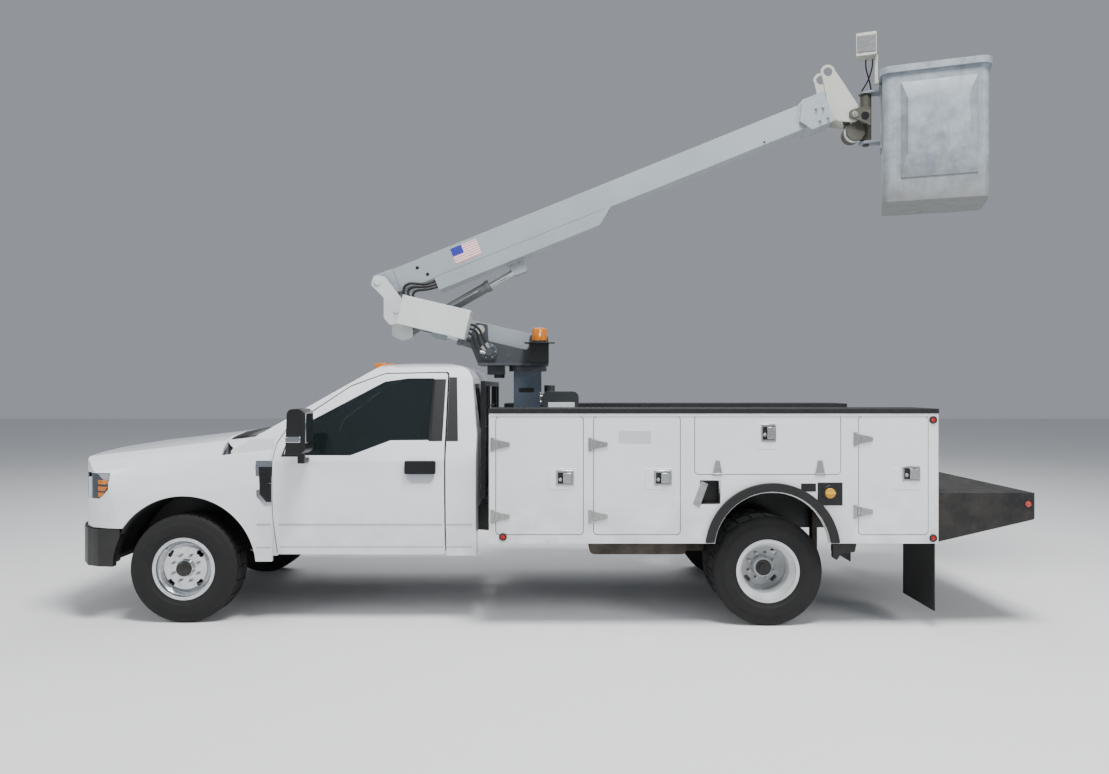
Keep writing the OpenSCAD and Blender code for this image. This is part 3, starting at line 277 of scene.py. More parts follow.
# Vinyl sheet printed with plain bands and a plain block
def makeBandedVinyl(name, facts):
    material, tree, shader, place = startMaterial(name)
    origin = facts["corner"]
    turned = addNode(tree, "ShaderNodeVectorMath", {"operation": "SUBTRACT"}, i0=place, i1=origin).outputs[0]
    along = addNode(tree, "ShaderNodeVectorMath", {"operation": "DOT_PRODUCT"}, i0=turned,
                    i1=boomAlong).outputs["Value"]
    up = addNode(tree, "ShaderNodeVectorMath", {"operation": "DOT_PRODUCT"}, i0=turned,
                 i1=boomUp).outputs["Value"]
    wave = addNode(tree, "ShaderNodeMath", {"operation": "SINE"},
                   i0=multiplied(tree, up, 2 * math.pi * facts["bandsPerMetre"])).outputs[0]
    bands = mixedColour(tree, ramped(tree, wave, -0.1, 0.1), linear("#e9e7e4"), linear("#d98a93"))
    inBlock = multiplied(tree, ramped(tree, along, facts["blockLong"] + 0.001, facts["blockLong"]),
                         ramped(tree, up, facts["blockFoot"], facts["blockFoot"] + 0.001))
    tree.links.new(mixedColour(tree, inBlock, bands, linear("#34379c")), shader.inputs["Base Color"])
    fade = ramped(tree, noiseOf(tree, place, 60, 4), 0.3, 0.7, 0.30, 0.5)
    tree.links.new(fade, shader.inputs["Roughness"])
    return material


paintFacts = {
    # acrylic enamel over steel panels, polished: bright, with a soft mirror of the sky
    "whiteEnamel": dict(colour="#eceef1", shade="#e4e8ec", dust=0.30, dustTop=1.0, wear=0, under="#9a9a98",
                        roughness=0.26, grain=0.05, coat=0.7, bump=0.05, peel=260),
    # the same enamel on the lockers, more used
    "lockerEnamel": dict(colour="#e9ecef", shade="#dfe4e9", dust=0.38, dustTop=1.15, wear=0.10,
                         under="#8d8f8f",
                         roughness=0.32, grain=0.08, coat=0.45, bump=0.08, peel=200),
    # black chassis paint, dulled by road film
    "chassisBlack": dict(colour="#060708", shade="#0a0b0c", dust=0.08, dustTop=0.9, wear=0.15,
                         under="#3a3532",
                         roughness=0.36, grain=0.15, coat=0.05, bump=0.25, peel=120),
    # cast and forged steel under the truck, with a skin of rust
    "axleSteel": dict(colour="#2a2724", shade="#3a302a", dust=0.55, dustTop=0.9, wear=0.6, under="#5b4030",
                      roughness=0.70, grain=0.15, coat=0.0, bump=0.5, peel=90),
    # pale grey polyurethane on the booms, chalking in the sun
    "boomGrey": dict(colour="#9aa3a7", shade="#8f999e", dust=0.12, dustTop=1.0, wear=0.22, under="#6d706f",
                     roughness=0.42, grain=0.15, coat=0.15, bump=0.15, peel=140),
    # dark machine grey on the turret
    "turretGrey": dict(colour="#43484d", shade="#3a3f45", dust=0.10, dustTop=1.0, wear=0.30, under="#8b8d8d",
                       roughness=0.46, grain=0.12, coat=0.10, bump=0.2, peel=130),
    # blue-grey machine paint on the pedestal and its collar
    "pedestalBlue": dict(colour="#47525f", shade="#3e4955", dust=0.15, dustTop=1.2, wear=0.25,
                         under="#7f8486",
                         roughness=0.44, grain=0.10, coat=0.15, bump=0.15, peel=130),
    # near-white paint on the elbow casting
    "elbowWhite": dict(colour="#cfd3d2", shade="#c0c6c7", dust=0.12, dustTop=1.0, wear=0.45, under="#77736c",
                       roughness=0.46, grain=0.12, coat=0.10, bump=0.2, peel=130),
    # thin sheet cover, gloss white gone dull
    "coverWhite": dict(colour="#d9dcda", shade="#cdd1d0", dust=0.10, dustTop=1.0, wear=0.15, under="#8c8c88",
                       roughness=0.40, grain=0.10, coat=0.2, bump=0.1, peel=160),
    # stained steel plate at the bucket: grey gone brown and green
    "stainedSteel": dict(colour="#45443b", shade="#56554c", dust=0.10, dustTop=1.0, wear=0.7, under="#8b8676",
                         roughness=0.62, grain=0.15, coat=0.0, bump=0.35, peel=100),
    "tipGrey": dict(colour="#b9bbb2", shade="#a7a99f", dust=0.10, dustTop=1.0, wear=0.5, under="#6f6a5f",
                    roughness=0.5, grain=0.12, coat=0.05, bump=0.2, peel=120),
    # satin grey barrel of a hydraulic cylinder
    "barrelGrey": dict(colour="#5f6365", shade="#6c6f70", dust=0.10, dustTop=1.0, wear=0.4, under="#94928c",
                       roughness=0.40, grain=0.15, coat=0.1, bump=0.15, peel=130),
    # white stove enamel on pressed steel wheels, brake dust in its hollows
    "wheelWhite": dict(colour="#d8dbdd", shade="#c7cbce", dust=0.35, dustTop=0.85, wear=0.2, under="#77706a",
                       roughness=0.32, grain=0.10, coat=0.4, bump=0.08, peel=180),
    "tankBlack": dict(colour="#24282b", shade="#2f3437", dust=0.12, dustTop=1.3, wear=0.2, under="#55585a",
                      roughness=0.42, grain=0.10, coat=0.1, bump=0.2, peel=130),
    "grittyBlack": dict(colour="#0a0b0d", shade="#101114", dust=0.10, dustTop=1.6, wear=0.15, under="#4b4b4b",
                        roughness=0.72, grain=0.15, coat=0.0, bump=0.9, peel=330),
    # white enamel seen where a pressing turns away from the light
    "creaseShade": dict(colour="#b9bfc5", shade="#b0b6bc", dust=0.2, dustTop=1.0, wear=0, under="#9a9a98",
                        roughness=0.4, grain=0.05, coat=0.3, bump=0.02, peel=260),
    # boom paint in the shadow of a lapped joint
    "seamShade": dict(colour="#5d6366", shade="#555b5e", dust=0.1, dustTop=1.0, wear=0, under="#6d706f",
                      roughness=0.5, grain=0.1, coat=0.0, bump=0.05, peel=140),
    "labelGrey": dict(colour="#c9ccce", shade="#bdc1c3", dust=0.1, dustTop=1.3, wear=0, under="#777777",
                      roughness=0.5, grain=0.1, coat=0.0, bump=0.05, peel=200),
}
metalFacts = {
    # forged aluminium wheel, polished by hand: bright with faint cloudy rings
    "polishedAluminium": dict(colour="#d6d8da", shade="#c2c5c8", perMetre=30, roughness=0.16, spread=0.14,
                              bump=0.05),
    # hard chrome on piston rods
    "hardChrome": dict(colour="#dfe1e3", shade="#d2d5d8", perMetre=20, roughness=0.07, spread=0.06,
                       bump=0.02),
    # zinc-plated bolts, hinges and fittings
    "zincPlate": dict(colour="#b9bcbb", shade="#9fa19c", perMetre=60, roughness=0.30, spread=0.18, bump=0.12),
    # stainless paddle latches, brushed
    "stainless": dict(colour="#c3c6c8", shade="#adb1b4", perMetre=80, roughness=0.24, spread=0.12, bump=0.08),
    # vacuum-plated plastic of the grille and lamp bowls
    "brightTrim": dict(colour="#d3d6d9", shade="#c6cace", perMetre=15, roughness=0.12, spread=0.06,
                       bump=0.02),
}
mouldedFacts = {
    # tyre rubber: matt black, brown dust held in the sidewall's grain
    "tyreRubber": dict(colour="#060607", dustColour="#3a362f", dust=0.09, patches=11, roughness=0.78,
                       grain=420,
                       bump=0.35, ior=1.52),
    # black rubber of flares, flaps and hoses
    "blackRubber": dict(colour="#060607", dustColour="#3a362f", dust=0.12, patches=14, roughness=0.60,
                        grain=300,
                        bump=0.25, ior=1.52),
    # grained black polypropylene of mirrors, trims and cowl
    "blackPlastic": dict(colour="#07080a", dustColour="#33322f", dust=0.08, patches=9, roughness=0.45,
                         grain=500,
                         bump=0.20, ior=1.49),
    # grey seat cloth and dashboard skin, a fine matt grain
    "cabinTrim": dict(colour="#26282b", dustColour="#3d3d3c", dust=0.20, patches=16, roughness=0.85,
                      grain=650,
                      bump=0.5, ior=1.45),
    # yellow nylon cap
    "yellowCap": dict(colour="#d9a31a", dustColour="#7a6a3a", dust=0.25, patches=30, roughness=0.42,
                      grain=300,
                      bump=0.15, ior=1.53),
    # woven grey webbing
    "greyWebbing": dict(colour="#8f9498", dustColour="#6d675c", dust=0.4, patches=30, roughness=0.9,
                        grain=700,
                        bump=0.7, ior=1.45),
}
clearFacts = {
    # green-grey tempered glass, 5 mm
    "tintedGlass": dict(colour="#46575a", clear=0.90, ior=1.52, roughness=0.015, ribs=0),
    # hard-coated polycarbonate of the headlamps
    "clearLens": dict(colour="#59626a", clear=0.45, ior=1.58, roughness=0.04, ribs=0),
    # amber and red acrylic, ribbed every 8 mm
    "amberLens": dict(colour="#f08a12", clear=0.35, ior=1.49, roughness=0.10, ribs=125),
    "redLens": dict(colour="#c4160f", clear=0.30, ior=1.49, roughness=0.12, ribs=125),
}

materials = {}
for materialName, facts in paintFacts.items():
    materials[materialName] = makePaint(materialName, facts)
for materialName, facts in metalFacts.items():
    materials[materialName] = makeMetal(materialName, facts)
for materialName, facts in mouldedFacts.items():
    materials[materialName] = makeMoulded(materialName, facts)
for materialName, facts in clearFacts.items():
    materials[materialName] = makeClear(materialName, facts)
bucketLow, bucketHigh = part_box("bucket")
materials["gelcoat"] = makeFibreglass("gelcoat", dict(
    colour="#7b858e", chalk="#98a1a8", grime="#69655a", scuff="#d9dbd8", foot=bucketLow.z))
print("materials made:", len(materials))


# Pieces

def newPiece(name, bm, body, material, bevel=0.0, smooth=40, segments=2):
    bmesh.ops.recalc_face_normals(bm, faces=bm.faces)
    mesh = bpy.data.meshes.new(name)
    bm.to_mesh(mesh)
    bm.free()
    piece = bpy.data.objects.new(name, mesh)
    bpy.context.scene.collection.objects.link(piece)
    mesh.materials.append(materials[material])
    for face in mesh.polygons:
        face.use_smooth = True
    mesh.set_sharp_from_angle(angle=math.radians(smooth))
    if bevel:
        rounding = piece.modifiers.new("rounding", "BEVEL")
        rounding.width = bevel
        rounding.segments = segments
        rounding.limit_method = "ANGLE"
        rounding.angle_limit = math.radians(smooth)
        rounding.harden_normals = False
    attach(piece, body)
    return piece


def addBox(bm, low, high):
    low, high = Vector(low), Vector(high)
    made = bmesh.ops.create_cube(bm, size=1)["verts"]
    bmesh.ops.scale(bm, verts=made, vec=high - low)
    bmesh.ops.translate(bm, verts=made, vec=(low + high) / 2)
    return made


def boxBetween(a, b):
    return [min(p) for p in zip(a, b)], [max(p) for p in zip(a, b)]


def addRod(bm, start, end, radius, segments=24, tip=None):
    start, end = Vector(start), Vector(end)
    made = bmesh.ops.create_cone(bm, cap_ends=True, segments=segments, radius1=radius,
                                 radius2=radius if tip is None else tip, depth=(end - start).length)["verts"]
    turn = (end - start).to_track_quat("Z", "Y").to_matrix().to_4x4()
    bmesh.ops.transform(bm, verts=made, matrix=Matrix.Translation((start + end) / 2) @ turn)
    return made


def addBolt(bm, seat, outward, across, height):
    seat, outward = Vector(seat), Vector(outward).normalized()
    addRod(bm, seat, seat + outward * height * 0.25, across * 0.72, 20)
    addRod(bm, seat + outward * height * 0.2, seat + outward * height, across * 0.55, 6)


def addPlate(bm, corners, thickness):
    verts = [bm.verts.new(corner) for corner in corners]
    face = bm.faces.new(verts)
    grown = bmesh.ops.extrude_face_region(bm, geom=[face])["geom"]
    moved = [item for item in grown if isinstance(item, bmesh.types.BMVert)]
    bmesh.ops.translate(bm, verts=moved, vec=thickness)


def spun(bm, profile, centre, axis, steps=96):
    verts = [bm.verts.new(point) for point in profile]
    edges = [bm.edges.new((a, b)) for a, b in zip(verts, verts[1:])]
    bmesh.ops.spin(bm, geom=verts + edges, cent=centre, axis=axis, angle=2 * math.pi, steps=steps,
                   use_merge=True)


# A CAD node's own shape, cleaned to large faces so that its edges can be rounded and its curves shaded
def finePiece(node, material, bevel=0.002, smooth=34):
    bm = bmesh.new()
    bm.from_mesh(nodes[node].data)
    bmesh.ops.remove_doubles(bm, verts=bm.verts, dist=0.00002)
    bmesh.ops.dissolve_limit(bm, angle_limit=math.radians(0.4), verts=bm.verts, edges=bm.edges)
    mesh = bpy.data.meshes.new(node)
    bm.to_mesh(mesh)
    bm.free()
    piece = bpy.data.objects.new(node + "_shown", mesh)
    bpy.context.scene.collection.objects.link(piece)
    mesh.materials.append(materials[material])
    for face in mesh.polygons:
        face.use_smooth = True
    mesh.set_sharp_from_angle(angle=math.radians(smooth))
    if bevel:
        rounding = piece.modifiers.new("rounding", "BEVEL")
        rounding.width = bevel
        rounding.segments = 2
        rounding.limit_method = "ANGLE"
        rounding.angle_limit = math.radians(smooth)
        rounding.miter_outer = "MITER_ARC"
    if smooth > 20:
        evening = piece.modifiers.new("evening", "WEIGHTED_NORMAL")
        evening.keep_sharp = True
    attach(piece, bodyOf[node])
    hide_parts(node)
    return piece


fineNodes = {
    "fenders": ("whiteEnamel", 0.004), "hood": ("whiteEnamel", 0.004), "cab_shell": ("whiteEnamel", 0.004),
    "left_door": ("whiteEnamel", 0.004), "right_door": ("whiteEnamel", 0.004),
    "service_body": ("lockerEnamel", 0.003), "front_bumper": ("chassisBlack", 0.008),
    "grille": ("brightTrim", 0.003), "headlamps": ("clearLens", 0.004),
    "cab_guard": ("chassisBlack", 0.002), "tail_platform": ("grittyBlack", 0.003),
    "locker_tops": ("grittyBlack", 0.003), "rubber_guards": ("blackRubber", 0.004),
    "body_lamps": ("redLens", 0.002), "oil_tank": ("tankBlack", 0.004), "pedestal": ("pedestalBlue", 0.004),
    "turret": ("turretGrey", 0.002), "lower_arm": ("boomGrey", 0.002), "hose_cover": ("coverWhite", 0.003),
    "levelling_link": ("turretGrey", 0.002), "elbow_head": ("elbowWhite", 0.002),
    "arm_cylinder": ("barrelGrey", 0.002), "boom_cylinder": ("barrelGrey", 0.002),
    "outer_boom": ("boomGrey", 0.003), "inner_boom": ("tipGrey", 0.003),
    "bucket_carrier": ("stainedSteel", 0.002), "bucket": ("gelcoat", 0.006),
    "left_mirror": ("blackPlastic", 0.012), "right_mirror": ("blackPlastic", 0.012),
    "cab_interior": ("cabinTrim", 0.006), "bucket_controls": ("tipGrey", 0.004),
    "cab_glass": ("tintedGlass", 0), "left_window": ("tintedGlass", 0), "right_window": ("tintedGlass", 0),
    "frame_rails": ("chassisBlack", 0.003), "driveline": ("axleSteel", 0.004), "axles": ("axleSteel", 0.003),
}
for side in ("left", "right"):
    for kind in ("front_locker_door", "middle_locker_door", "drop_door", "rear_locker_door"):
        fineNodes[side + "_" + kind] = ("lockerEnamel", 0.004)
    fineNodes[side + "_knuckle"] = ("axleSteel", 0.003)
for node, (material, bevel) in fineNodes.items():
    finePiece(node, material, bevel)

# Thin or plain round nodes keep the CAD surface and only take a finish
plainNodes = {"arm_piston_rod": "hardChrome", "boom_piston_rod": "hardChrome"}
for node, material in plainNodes.items():
    nodes[node].data.materials.clear()
    nodes[node].data.materials.append(materials[material])
print("CAD pieces finished:", len(fineNodes) + len(plainNodes))


# Surface finders: many trim pieces are laid on the CAD skin under them

skins = {}
windowOf = {"left_door": "left_window", "right_door": "right_window"}


def skinOf(node):
    if node not in skins:
        points, faces = [], []
        for name in filter(None, (node, windowOf.get(node))):  # a door's skin takes in its window
            mesh = nodes[name].data
            faces += [tuple(v + len(points) for v in p.vertices) for p in mesh.polygons]
            points += [v.co.copy() for v in mesh.vertices]
        skins[node] = BVHTree.FromPolygons(points, faces)
    return skins[node]


def laidOn(node, point, direction, lift):
    start = Vector(point) - Vector(direction) * 3
    place = skinOf(node).ray_cast(start, Vector(direction))[0]
    return place - Vector(direction) * lift if place else None


# Tyres with ribs, sipes and a bead ring; the wheels behind them

tyreFacts = {"grooves": [(-0.36, -0.31), (-0.13, -0.08), (0.08, 0.13), (0.31, 0.36)], "grooveDeep": 0.011,
             "steps": 168}


beadRadius = 0.2165
dualGap = 0.274


def tyreProfile(width, bead, radius, centreY, facts):
    outline = [(0.400, bead + 0.001), (0.425, bead + 0.012), (0.442, bead + 0.014), (0.446, bead + 0.019),
               (0.466, bead + 0.032), (0.482, bead + 0.050), (0.488, bead + 0.051), (0.490, bead + 0.055),
               (0.496, bead + 0.076), (0.500, bead + 0.100), (0.498, radius - 0.062), (0.490, radius - 0.060),
               (0.488, radius - 0.052), (0.486, radius - 0.050), (0.474, radius - 0.026), (0.446,
                                                                                           radius - 0.010),
               (0.405, radius - 0.003)]
    points = [(-y, r) for y, r in outline]
    deep = facts["grooveDeep"]
    tread = []
    for low, high in facts["grooves"]:
        tread += [(low, radius), (low + 0.006, radius - deep), (high - 0.006, radius - deep), (high, radius)]
    points = points + tread + list(reversed(outline))
    return [Vector((0, centreY + y * width, r)) for y, r in points]


def makeTyre(bm, centre, width, bead, radius):
    profile = tyreProfile(width, bead, radius, 0, tyreFacts)
    spun(bm, profile, (0, 0, 0), (0, 1, 0), tyreFacts["steps"])
    bmesh.ops.recalc_face_normals(bm, faces=bm.faces)
    step = 2 * math.pi / tyreFacts["steps"]
    sunk = []
    for face in bm.faces:
        middle = face.calc_center_median()
        reach = math.hypot(middle.x, middle.z)
        turn = int((math.atan2(middle.x, middle.z) % (2 * math.pi)) / step)
        outerRib = abs(middle.y) > width * 0.36
        if reach > radius - 0.004 and face.calc_area() > 1e-5:
            if (outerRib and turn % 4 == 0) or (not outerRib and turn % 7 == 0):
                sunk.append(face)
    bmesh.ops.inset_individual(bm, faces=sunk, thickness=0.0012, depth=-0.007)
    bmesh.ops.translate(bm, verts=bm.verts, vec=centre)


def makeTyrePiece(name, node, centres):
    low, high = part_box(node)
    radius = (high.z - low.z) / 2
    width = (high.y - low.y) if len(centres) == 1 else (high.y - low.y) - abs(centres[0] - centres[1])
    bm = bmesh.new()
    for y in centres:
        part = bmesh.new()
        makeTyre(part, Vector(((low.x + high.x) / 2, y, radius)), width, beadRadius, radius)
        spare = bpy.data.meshes.new("part")
        part.to_mesh(spare)
        part.free()
        bm.from_mesh(spare)
    piece = newPiece(name, bm, bodyOf[node], "tyreRubber", 0, 50)
    wall = piece.modifiers.new("wall", "SOLIDIFY")
    wall.thickness = 0.012
    wall.offset = -1
    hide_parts(node)


for side, sign in (("left", 1), ("right", -1)):
    frontY = pivot("front_%s_wheel_spin" % side).y
    rearY = pivot("rear_%s_wheels_spin" % side).y
    makeTyrePiece("front_%s_treads" % side, "front_%s_tyre" % side, [frontY])
    makeTyrePiece("rear_%s_treads" % side, "rear_%s_tyres" % side, [rearY - dualGap / 2, rearY + dualGap / 2])
    finePiece("front_%s_rim" % side, "polishedAluminium", 0.002)
    finePiece("rear_%s_rims" % side, "wheelWhite", 0.002)

wheelNuts = {"count": 8, "pitch": 0.100, "across": 0.017, "height": 0.034}
hubCap = [(0.001, 0.128), (0.038, 0.127), (0.052, 0.120), (0.058, 0.104), (0.061, 0.070)]  # radius, outward


def makeNuts(name, body, centre, outward, seatY, facts, material):
    bm = bmesh.new()
    for i in range(facts["count"]):
        angle = 2 * math.pi * (i + 0.5) / facts["count"]
        seat = Vector((centre.x + facts["pitch"] * math.cos(angle), seatY,
                       centre.z + facts["pitch"] * math.sin(angle)))
        addBolt(bm, seat, (0, outward, 0), facts["across"], facts["height"])
    newPiece(name, bm, body, material, 0.001)


for side, sign in (("left", 1), ("right", -1)):
    centre = pivot("front_%s_wheel_spin" % side)
    makeNuts("front_%s_nuts" % side, "front_%s_wheel" % side, centre, sign,
             centre.y + sign * 0.073, wheelNuts, "zincPlate")
    bm = bmesh.new()  # dark cap over the front hub
    spun(bm, [Vector((0, sign * y, r)) for r, y in hubCap], (0, 0, 0), (0, 1, 0), 48)
    bmesh.ops.translate(bm, verts=bm.verts, vec=centre)
    newPiece("front_%s_hub_cap" % side, bm, "front_%s_wheel" % side, "chassisBlack")
    centre = pivot("rear_%s_wheels_spin" % side)
    makeNuts("rear_%s_nuts" % side, "rear_%s_wheels" % side, centre, sign,
             centre.y + sign * 0.014, dict(wheelNuts, height=0.045), "zincPlate")
    hub = laidOn("rear_%s_rims" % side, (centre.x + 0.035, 0, centre.z), Vector((0, -sign, 0)), 0)
    hub = Vector((centre.x, hub.y, centre.z))
    bm = bmesh.new()  # dark flange of the rear hub
    addRod(bm, hub, hub + Vector((0, sign * 0.003, 0)), 0.060, 40)
    addRod(bm, hub, hub + Vector((0, sign * 0.010, 0)), 0.034, 32)
    newPiece("rear_%s_hub_flange" % side, bm, "rear_%s_wheels" % side,
             "chassisBlack", 0.001)
print("wheels made")


# A thin sheet laid on a node's side; rows run from one level to the next, each from one x to another
def drapedSheet(name, node, rows, sign, lift, material, body=None, steps=10, thick=0.004):
    bm = bmesh.new()
    direction = Vector((0, -sign, 0))
    grid = []
    for z, start, end in rows:
        line = []
        for i in range(steps + 1):
            x = start + (end - start) * i / steps
            place = laidOn(node, (axleX + x, 0, z), direction, lift)
            for k in range(1, 16):  # an edge past the skin draws back onto it
                place = place or laidOn(node, (axleX + x + ((start + end) / 2 - x) * k / 16, 0, z),
                                        direction, lift)
            if place is None:
                bm.free()
                print("nothing under", name)
                return None
            line.append(bm.verts.new(place))
        grid.append(line)
    faces = []
    for a, b in zip(grid, grid[1:]):
        for i in range(steps):
            faces.append(bm.faces.new((a[i], a[i + 1], b[i + 1], b[i])))
    grown = bmesh.ops.extrude_face_region(bm, geom=faces)["geom"]
    moved = [item for item in grown if isinstance(item, bmesh.types.BMVert)]
    bmesh.ops.translate(bm, verts=moved, vec=direction * thick)
    return newPiece(name, bm, body or bodyOf[node], material, 0.001, 40)


sides = (("left", 1), ("right", -1))

# Rows of sheets laid on the cab: height, then where the row starts and ends behind the front axle
# Fender vent: a black louvre in a bright frame, pointed at its lower front
ventFacts = {"frame": [(1.199, -0.529, -0.673), (1.162, -0.529, -0.673), (0.941, -0.544, -0.673),
                       (0.867, -0.606, -0.673)],
             "louvre": [(1.155, -0.555, -0.658), (0.956, -0.569, -0.658),
                        (0.897, -0.617, -0.658)], "slats": 5}
# Handle, and the shallow cup behind it, drawn in grey as painted shade
handleFacts = {"cup": [(1.125, -1.646, -1.856), (1.066, -1.654, -1.849), (1.033, -1.687, -1.819)],
               "bar": [(1.201, -1.646, -1.860), (1.193, -1.639, -1.867), (1.113, -1.639, -1.867),
                       (1.105, -1.646, -1.860)]}
pillarFacts = {"front": [(1.806, -1.810, -1.909), (1.342, -1.802, -1.905)],
               "rear": [(1.821, -1.922, -1.992), (1.342, -1.916, -2.023)]}
sailRows = [(1.411, -0.770, -0.826), (1.323, -0.744, -0.878), (1.230, -0.718, -0.878)]
for side, sign in sides:
    drapedSheet(side + "_vent_frame", "fenders", ventFacts["frame"], sign, 0.004,
                "brightTrim")
    drapedSheet(side + "_vent_louvre", "fenders", ventFacts["louvre"], sign, 0.0065,
                "blackPlastic")
    for i in range(ventFacts["slats"]):
        z = 0.93 + i * 0.045
        x = -0.552 - 0.01 * max(0, 2 - i)
        drapedSheet("%s_vent_slat_%d" % (side, i), "fenders",
                    [(z, x - 0.02, -0.628), (z + 0.012, x - 0.02, -0.628)],
                    sign, 0.011, "blackPlastic", thick=0.006)
    # the cup behind the handle is a grey sheet of painted shade
    drapedSheet(side + "_handle_cup_shade", side + "_door", handleFacts["cup"], sign, 0.003,
                "creaseShade", thick=0.003)
    drapedSheet(side + "_handle", side + "_door", handleFacts["bar"], sign, 0.034,
                "blackPlastic", thick=0.026)
    drapedSheet(side + "_pillar_front", side + "_door", pillarFacts["front"], sign, 0.003,
                "blackPlastic")
    drapedSheet(side + "_pillar_rear", "cab_shell", pillarFacts["rear"], sign, 0.003,
                "blackPlastic")
    drapedSheet(side + "_window_sail", side + "_door", sailRows, sign, 0.003, "blackPlastic")
    # creases pressed along the lower body, drawn as thin strips of painted shade
    for node, start, end in (("fenders", -0.545, -0.650), (side + "_door", -0.705, -1.915),
                             ("cab_shell", -1.945, -2.130)):
        for i, (z, tall) in enumerate(((0.722, 0.014), (0.556, 0.010))):
            drapedSheet("%s_crease_%s_%d" % (side, node, i), node,
                        [(z, start, end), (z + tall * 0.5, start, end), (z + tall, start, end)],
                        sign, 0.0016, "creaseShade", thick=0.002)
print("door trim made")

# Wheel-well liners, dark inside the arches
linerFacts = {"radius": 0.5375, "inner": 0.518, "outer": 0.985, "from": 6, "to": 174}
for side, sign in sides:
    bm = bmesh.new()
    facts = linerFacts
    rings = []
    for i in range(37):
        turn = math.radians(facts["from"] + (facts["to"] - facts["from"]) * i / 36)
        x = axleX + facts["radius"] * math.cos(turn)
        z = wheelZ + facts["radius"] * math.sin(turn)
        rings.append([bm.verts.new((x, sign * facts["inner"], z)),
                      bm.verts.new((x, sign * facts["outer"], z))])
    for a, b in zip(rings, rings[1:]):
        bm.faces.new((a[0], a[1], b[1], b[0]))
    bm.faces.new([ring[0] for ring in rings])
    liner = newPiece(side + "_front_wheel_liner", bm, "chassis", "blackPlastic", 0, 60)
    wall = liner.modifiers.new("wall", "SOLIDIFY")
    wall.thickness = 0.004
    wall.offset = 0

# Headlamps: four amber bars laid on the lens
for side, sign in sides:
    for i, z in enumerate((1.091, 1.039, 0.990, 0.946)):
        drapedSheet("%s_lamp_bar_%d" % (side, i), "headlamps", [(z - 0.016, 0.650, 0.566 + 0.012 * i),
                    (z + 0.016, 0.650, 0.562)], sign, 0.005, "amberLens", "chassis")
grilleLow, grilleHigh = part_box("grille")
bm = bmesh.new()
for i in range(4):
    z = grilleLow.z + (grilleHigh.z - grilleLow.z) * (0.14 + 0.24 * i)
    addBox(bm, (grilleHigh.x - 0.030, -0.50, z - 0.020), (grilleHigh.x - 0.002, 0.50, z + 0.020))
newPiece("grille_bars", bm, "chassis", "brightTrim", 0.006)
bm = bmesh.new()
for i in range(25):
    y = -0.48 + 0.04 * i
    addBox(bm, (grilleHigh.x - 0.045, y - 0.003, grilleLow.z + 0.03),
           (grilleHigh.x - 0.032, y + 0.003, grilleHigh.z - 0.03))
newPiece("grille_slats", bm, "chassis", "blackPlastic", 0)

# Cowl under the windscreen, with its two wipers
bm = bmesh.new()
down = Vector((0, 0, -1))
cowl = []
for i in range(25):
    y = -0.78 + 1.56 * i / 24
    row = []
    for x in (-0.275, -0.36, -0.455):
        place = laidOn("cab_shell", (axleX + x, y, 0), down, 0.004)
        row.append(place)
    cowl.append(row)
if all(place for row in cowl for place in row):
    rows = [[bm.verts.new(place) for place in row] for row in cowl]
    for a, b in zip(rows, rows[1:]):
        for i in range(2):
            bm.faces.new((a[i], b[i], b[i + 1], a[i + 1]))
    piece = newPiece("cowl", bm, "chassis", "blackPlastic", 0, 60)
    wall = piece.modifiers.new("wall", "SOLIDIFY")
    wall.thickness = 0.004
    wall.offset = -1
for i, (start, end) in enumerate(((0.12, 0.70), (-0.62, -0.04))):
    bm = bmesh.new()
    foot = laidOn("cab_glass", (axleX - 0.56, start, 0), down, 0.022)
    tip = laidOn("cab_glass", (axleX - 0.68, end, 0), down, 0.012)
    if foot and tip:
        addRod(bm, foot, tip, 0.006, 10)
        addBox(bm, foot - Vector((0.02, 0.02, 0.02)), foot + Vector((0.02, 0.02, 0.012)))
        newPiece("wiper_%d" % i, bm, "chassis", "blackPlastic", 0.002)
    else:
        bm.free()

# Five amber markers along the front of the roof
bm = bmesh.new()
for y in (-0.55, -0.18, 0, 0.18, 0.55):
    foot = laidOn("cab_shell", (axleX - 1.37, y, 0), down, 0)
    if foot:
        addBox(bm, foot + Vector((-0.045, -0.028, -0.012)), foot + Vector((0.045, 0.028, 0.026)))
newPiece("roof_markers", bm, "chassis", "amberLens", 0.010, 40, 3)

# Mirror glass, and the lamp strip round the mirror's shell
for side, sign in sides:
    low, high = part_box(side + "_mirror")
    inner, outer = sorted((low.y * sign, high.y * sign))
    bm = bmesh.new()
    y0, y1 = sorted((sign * (outer - 0.205), sign * (outer - 0.02)))
    addBox(bm, (low.x - 0.002, y0, low.z + 0.16), (low.x + 0.004, y1, high.z - 0.03))
    newPiece(side + "_mirror_glass", bm, side + "_door", "hardChrome", 0.002)
    bm = bmesh.new()
    for vert in bpy.data.objects[side + "_mirror_shown"].data.vertices:  # the shell gives way to the strip
        if sign * vert.co.y > outer - 0.0005:
            vert.co.y -= sign * 0.0015
    y0, y1 = sorted((sign * (outer - 0.23), sign * outer))
    addBox(bm, (low.x + 0.03, y0, 1.352), (high.x + 0.0005, y1, 1.398))
    newPiece(side + "_mirror_lamp", bm, side + "_door", "brightTrim", 0.006)
print("cab trim made")


# Locker hardware: strap hinges, paddle latches in their recesses, blank plates

skinY = bodyHigh.y


# Barrel on the hinge's own axis; the strap starts a barrel's width from it, so nothing meets as the door swings
strapFacts = {"barrel": 0.011, "half": 0.036, "start": 0.013, "end": 0.098, "wide": 0.032, "narrow": 0.014,
              "lift": 0.001, "proud": 0.010, "bolts": (0.045, 0.078)}


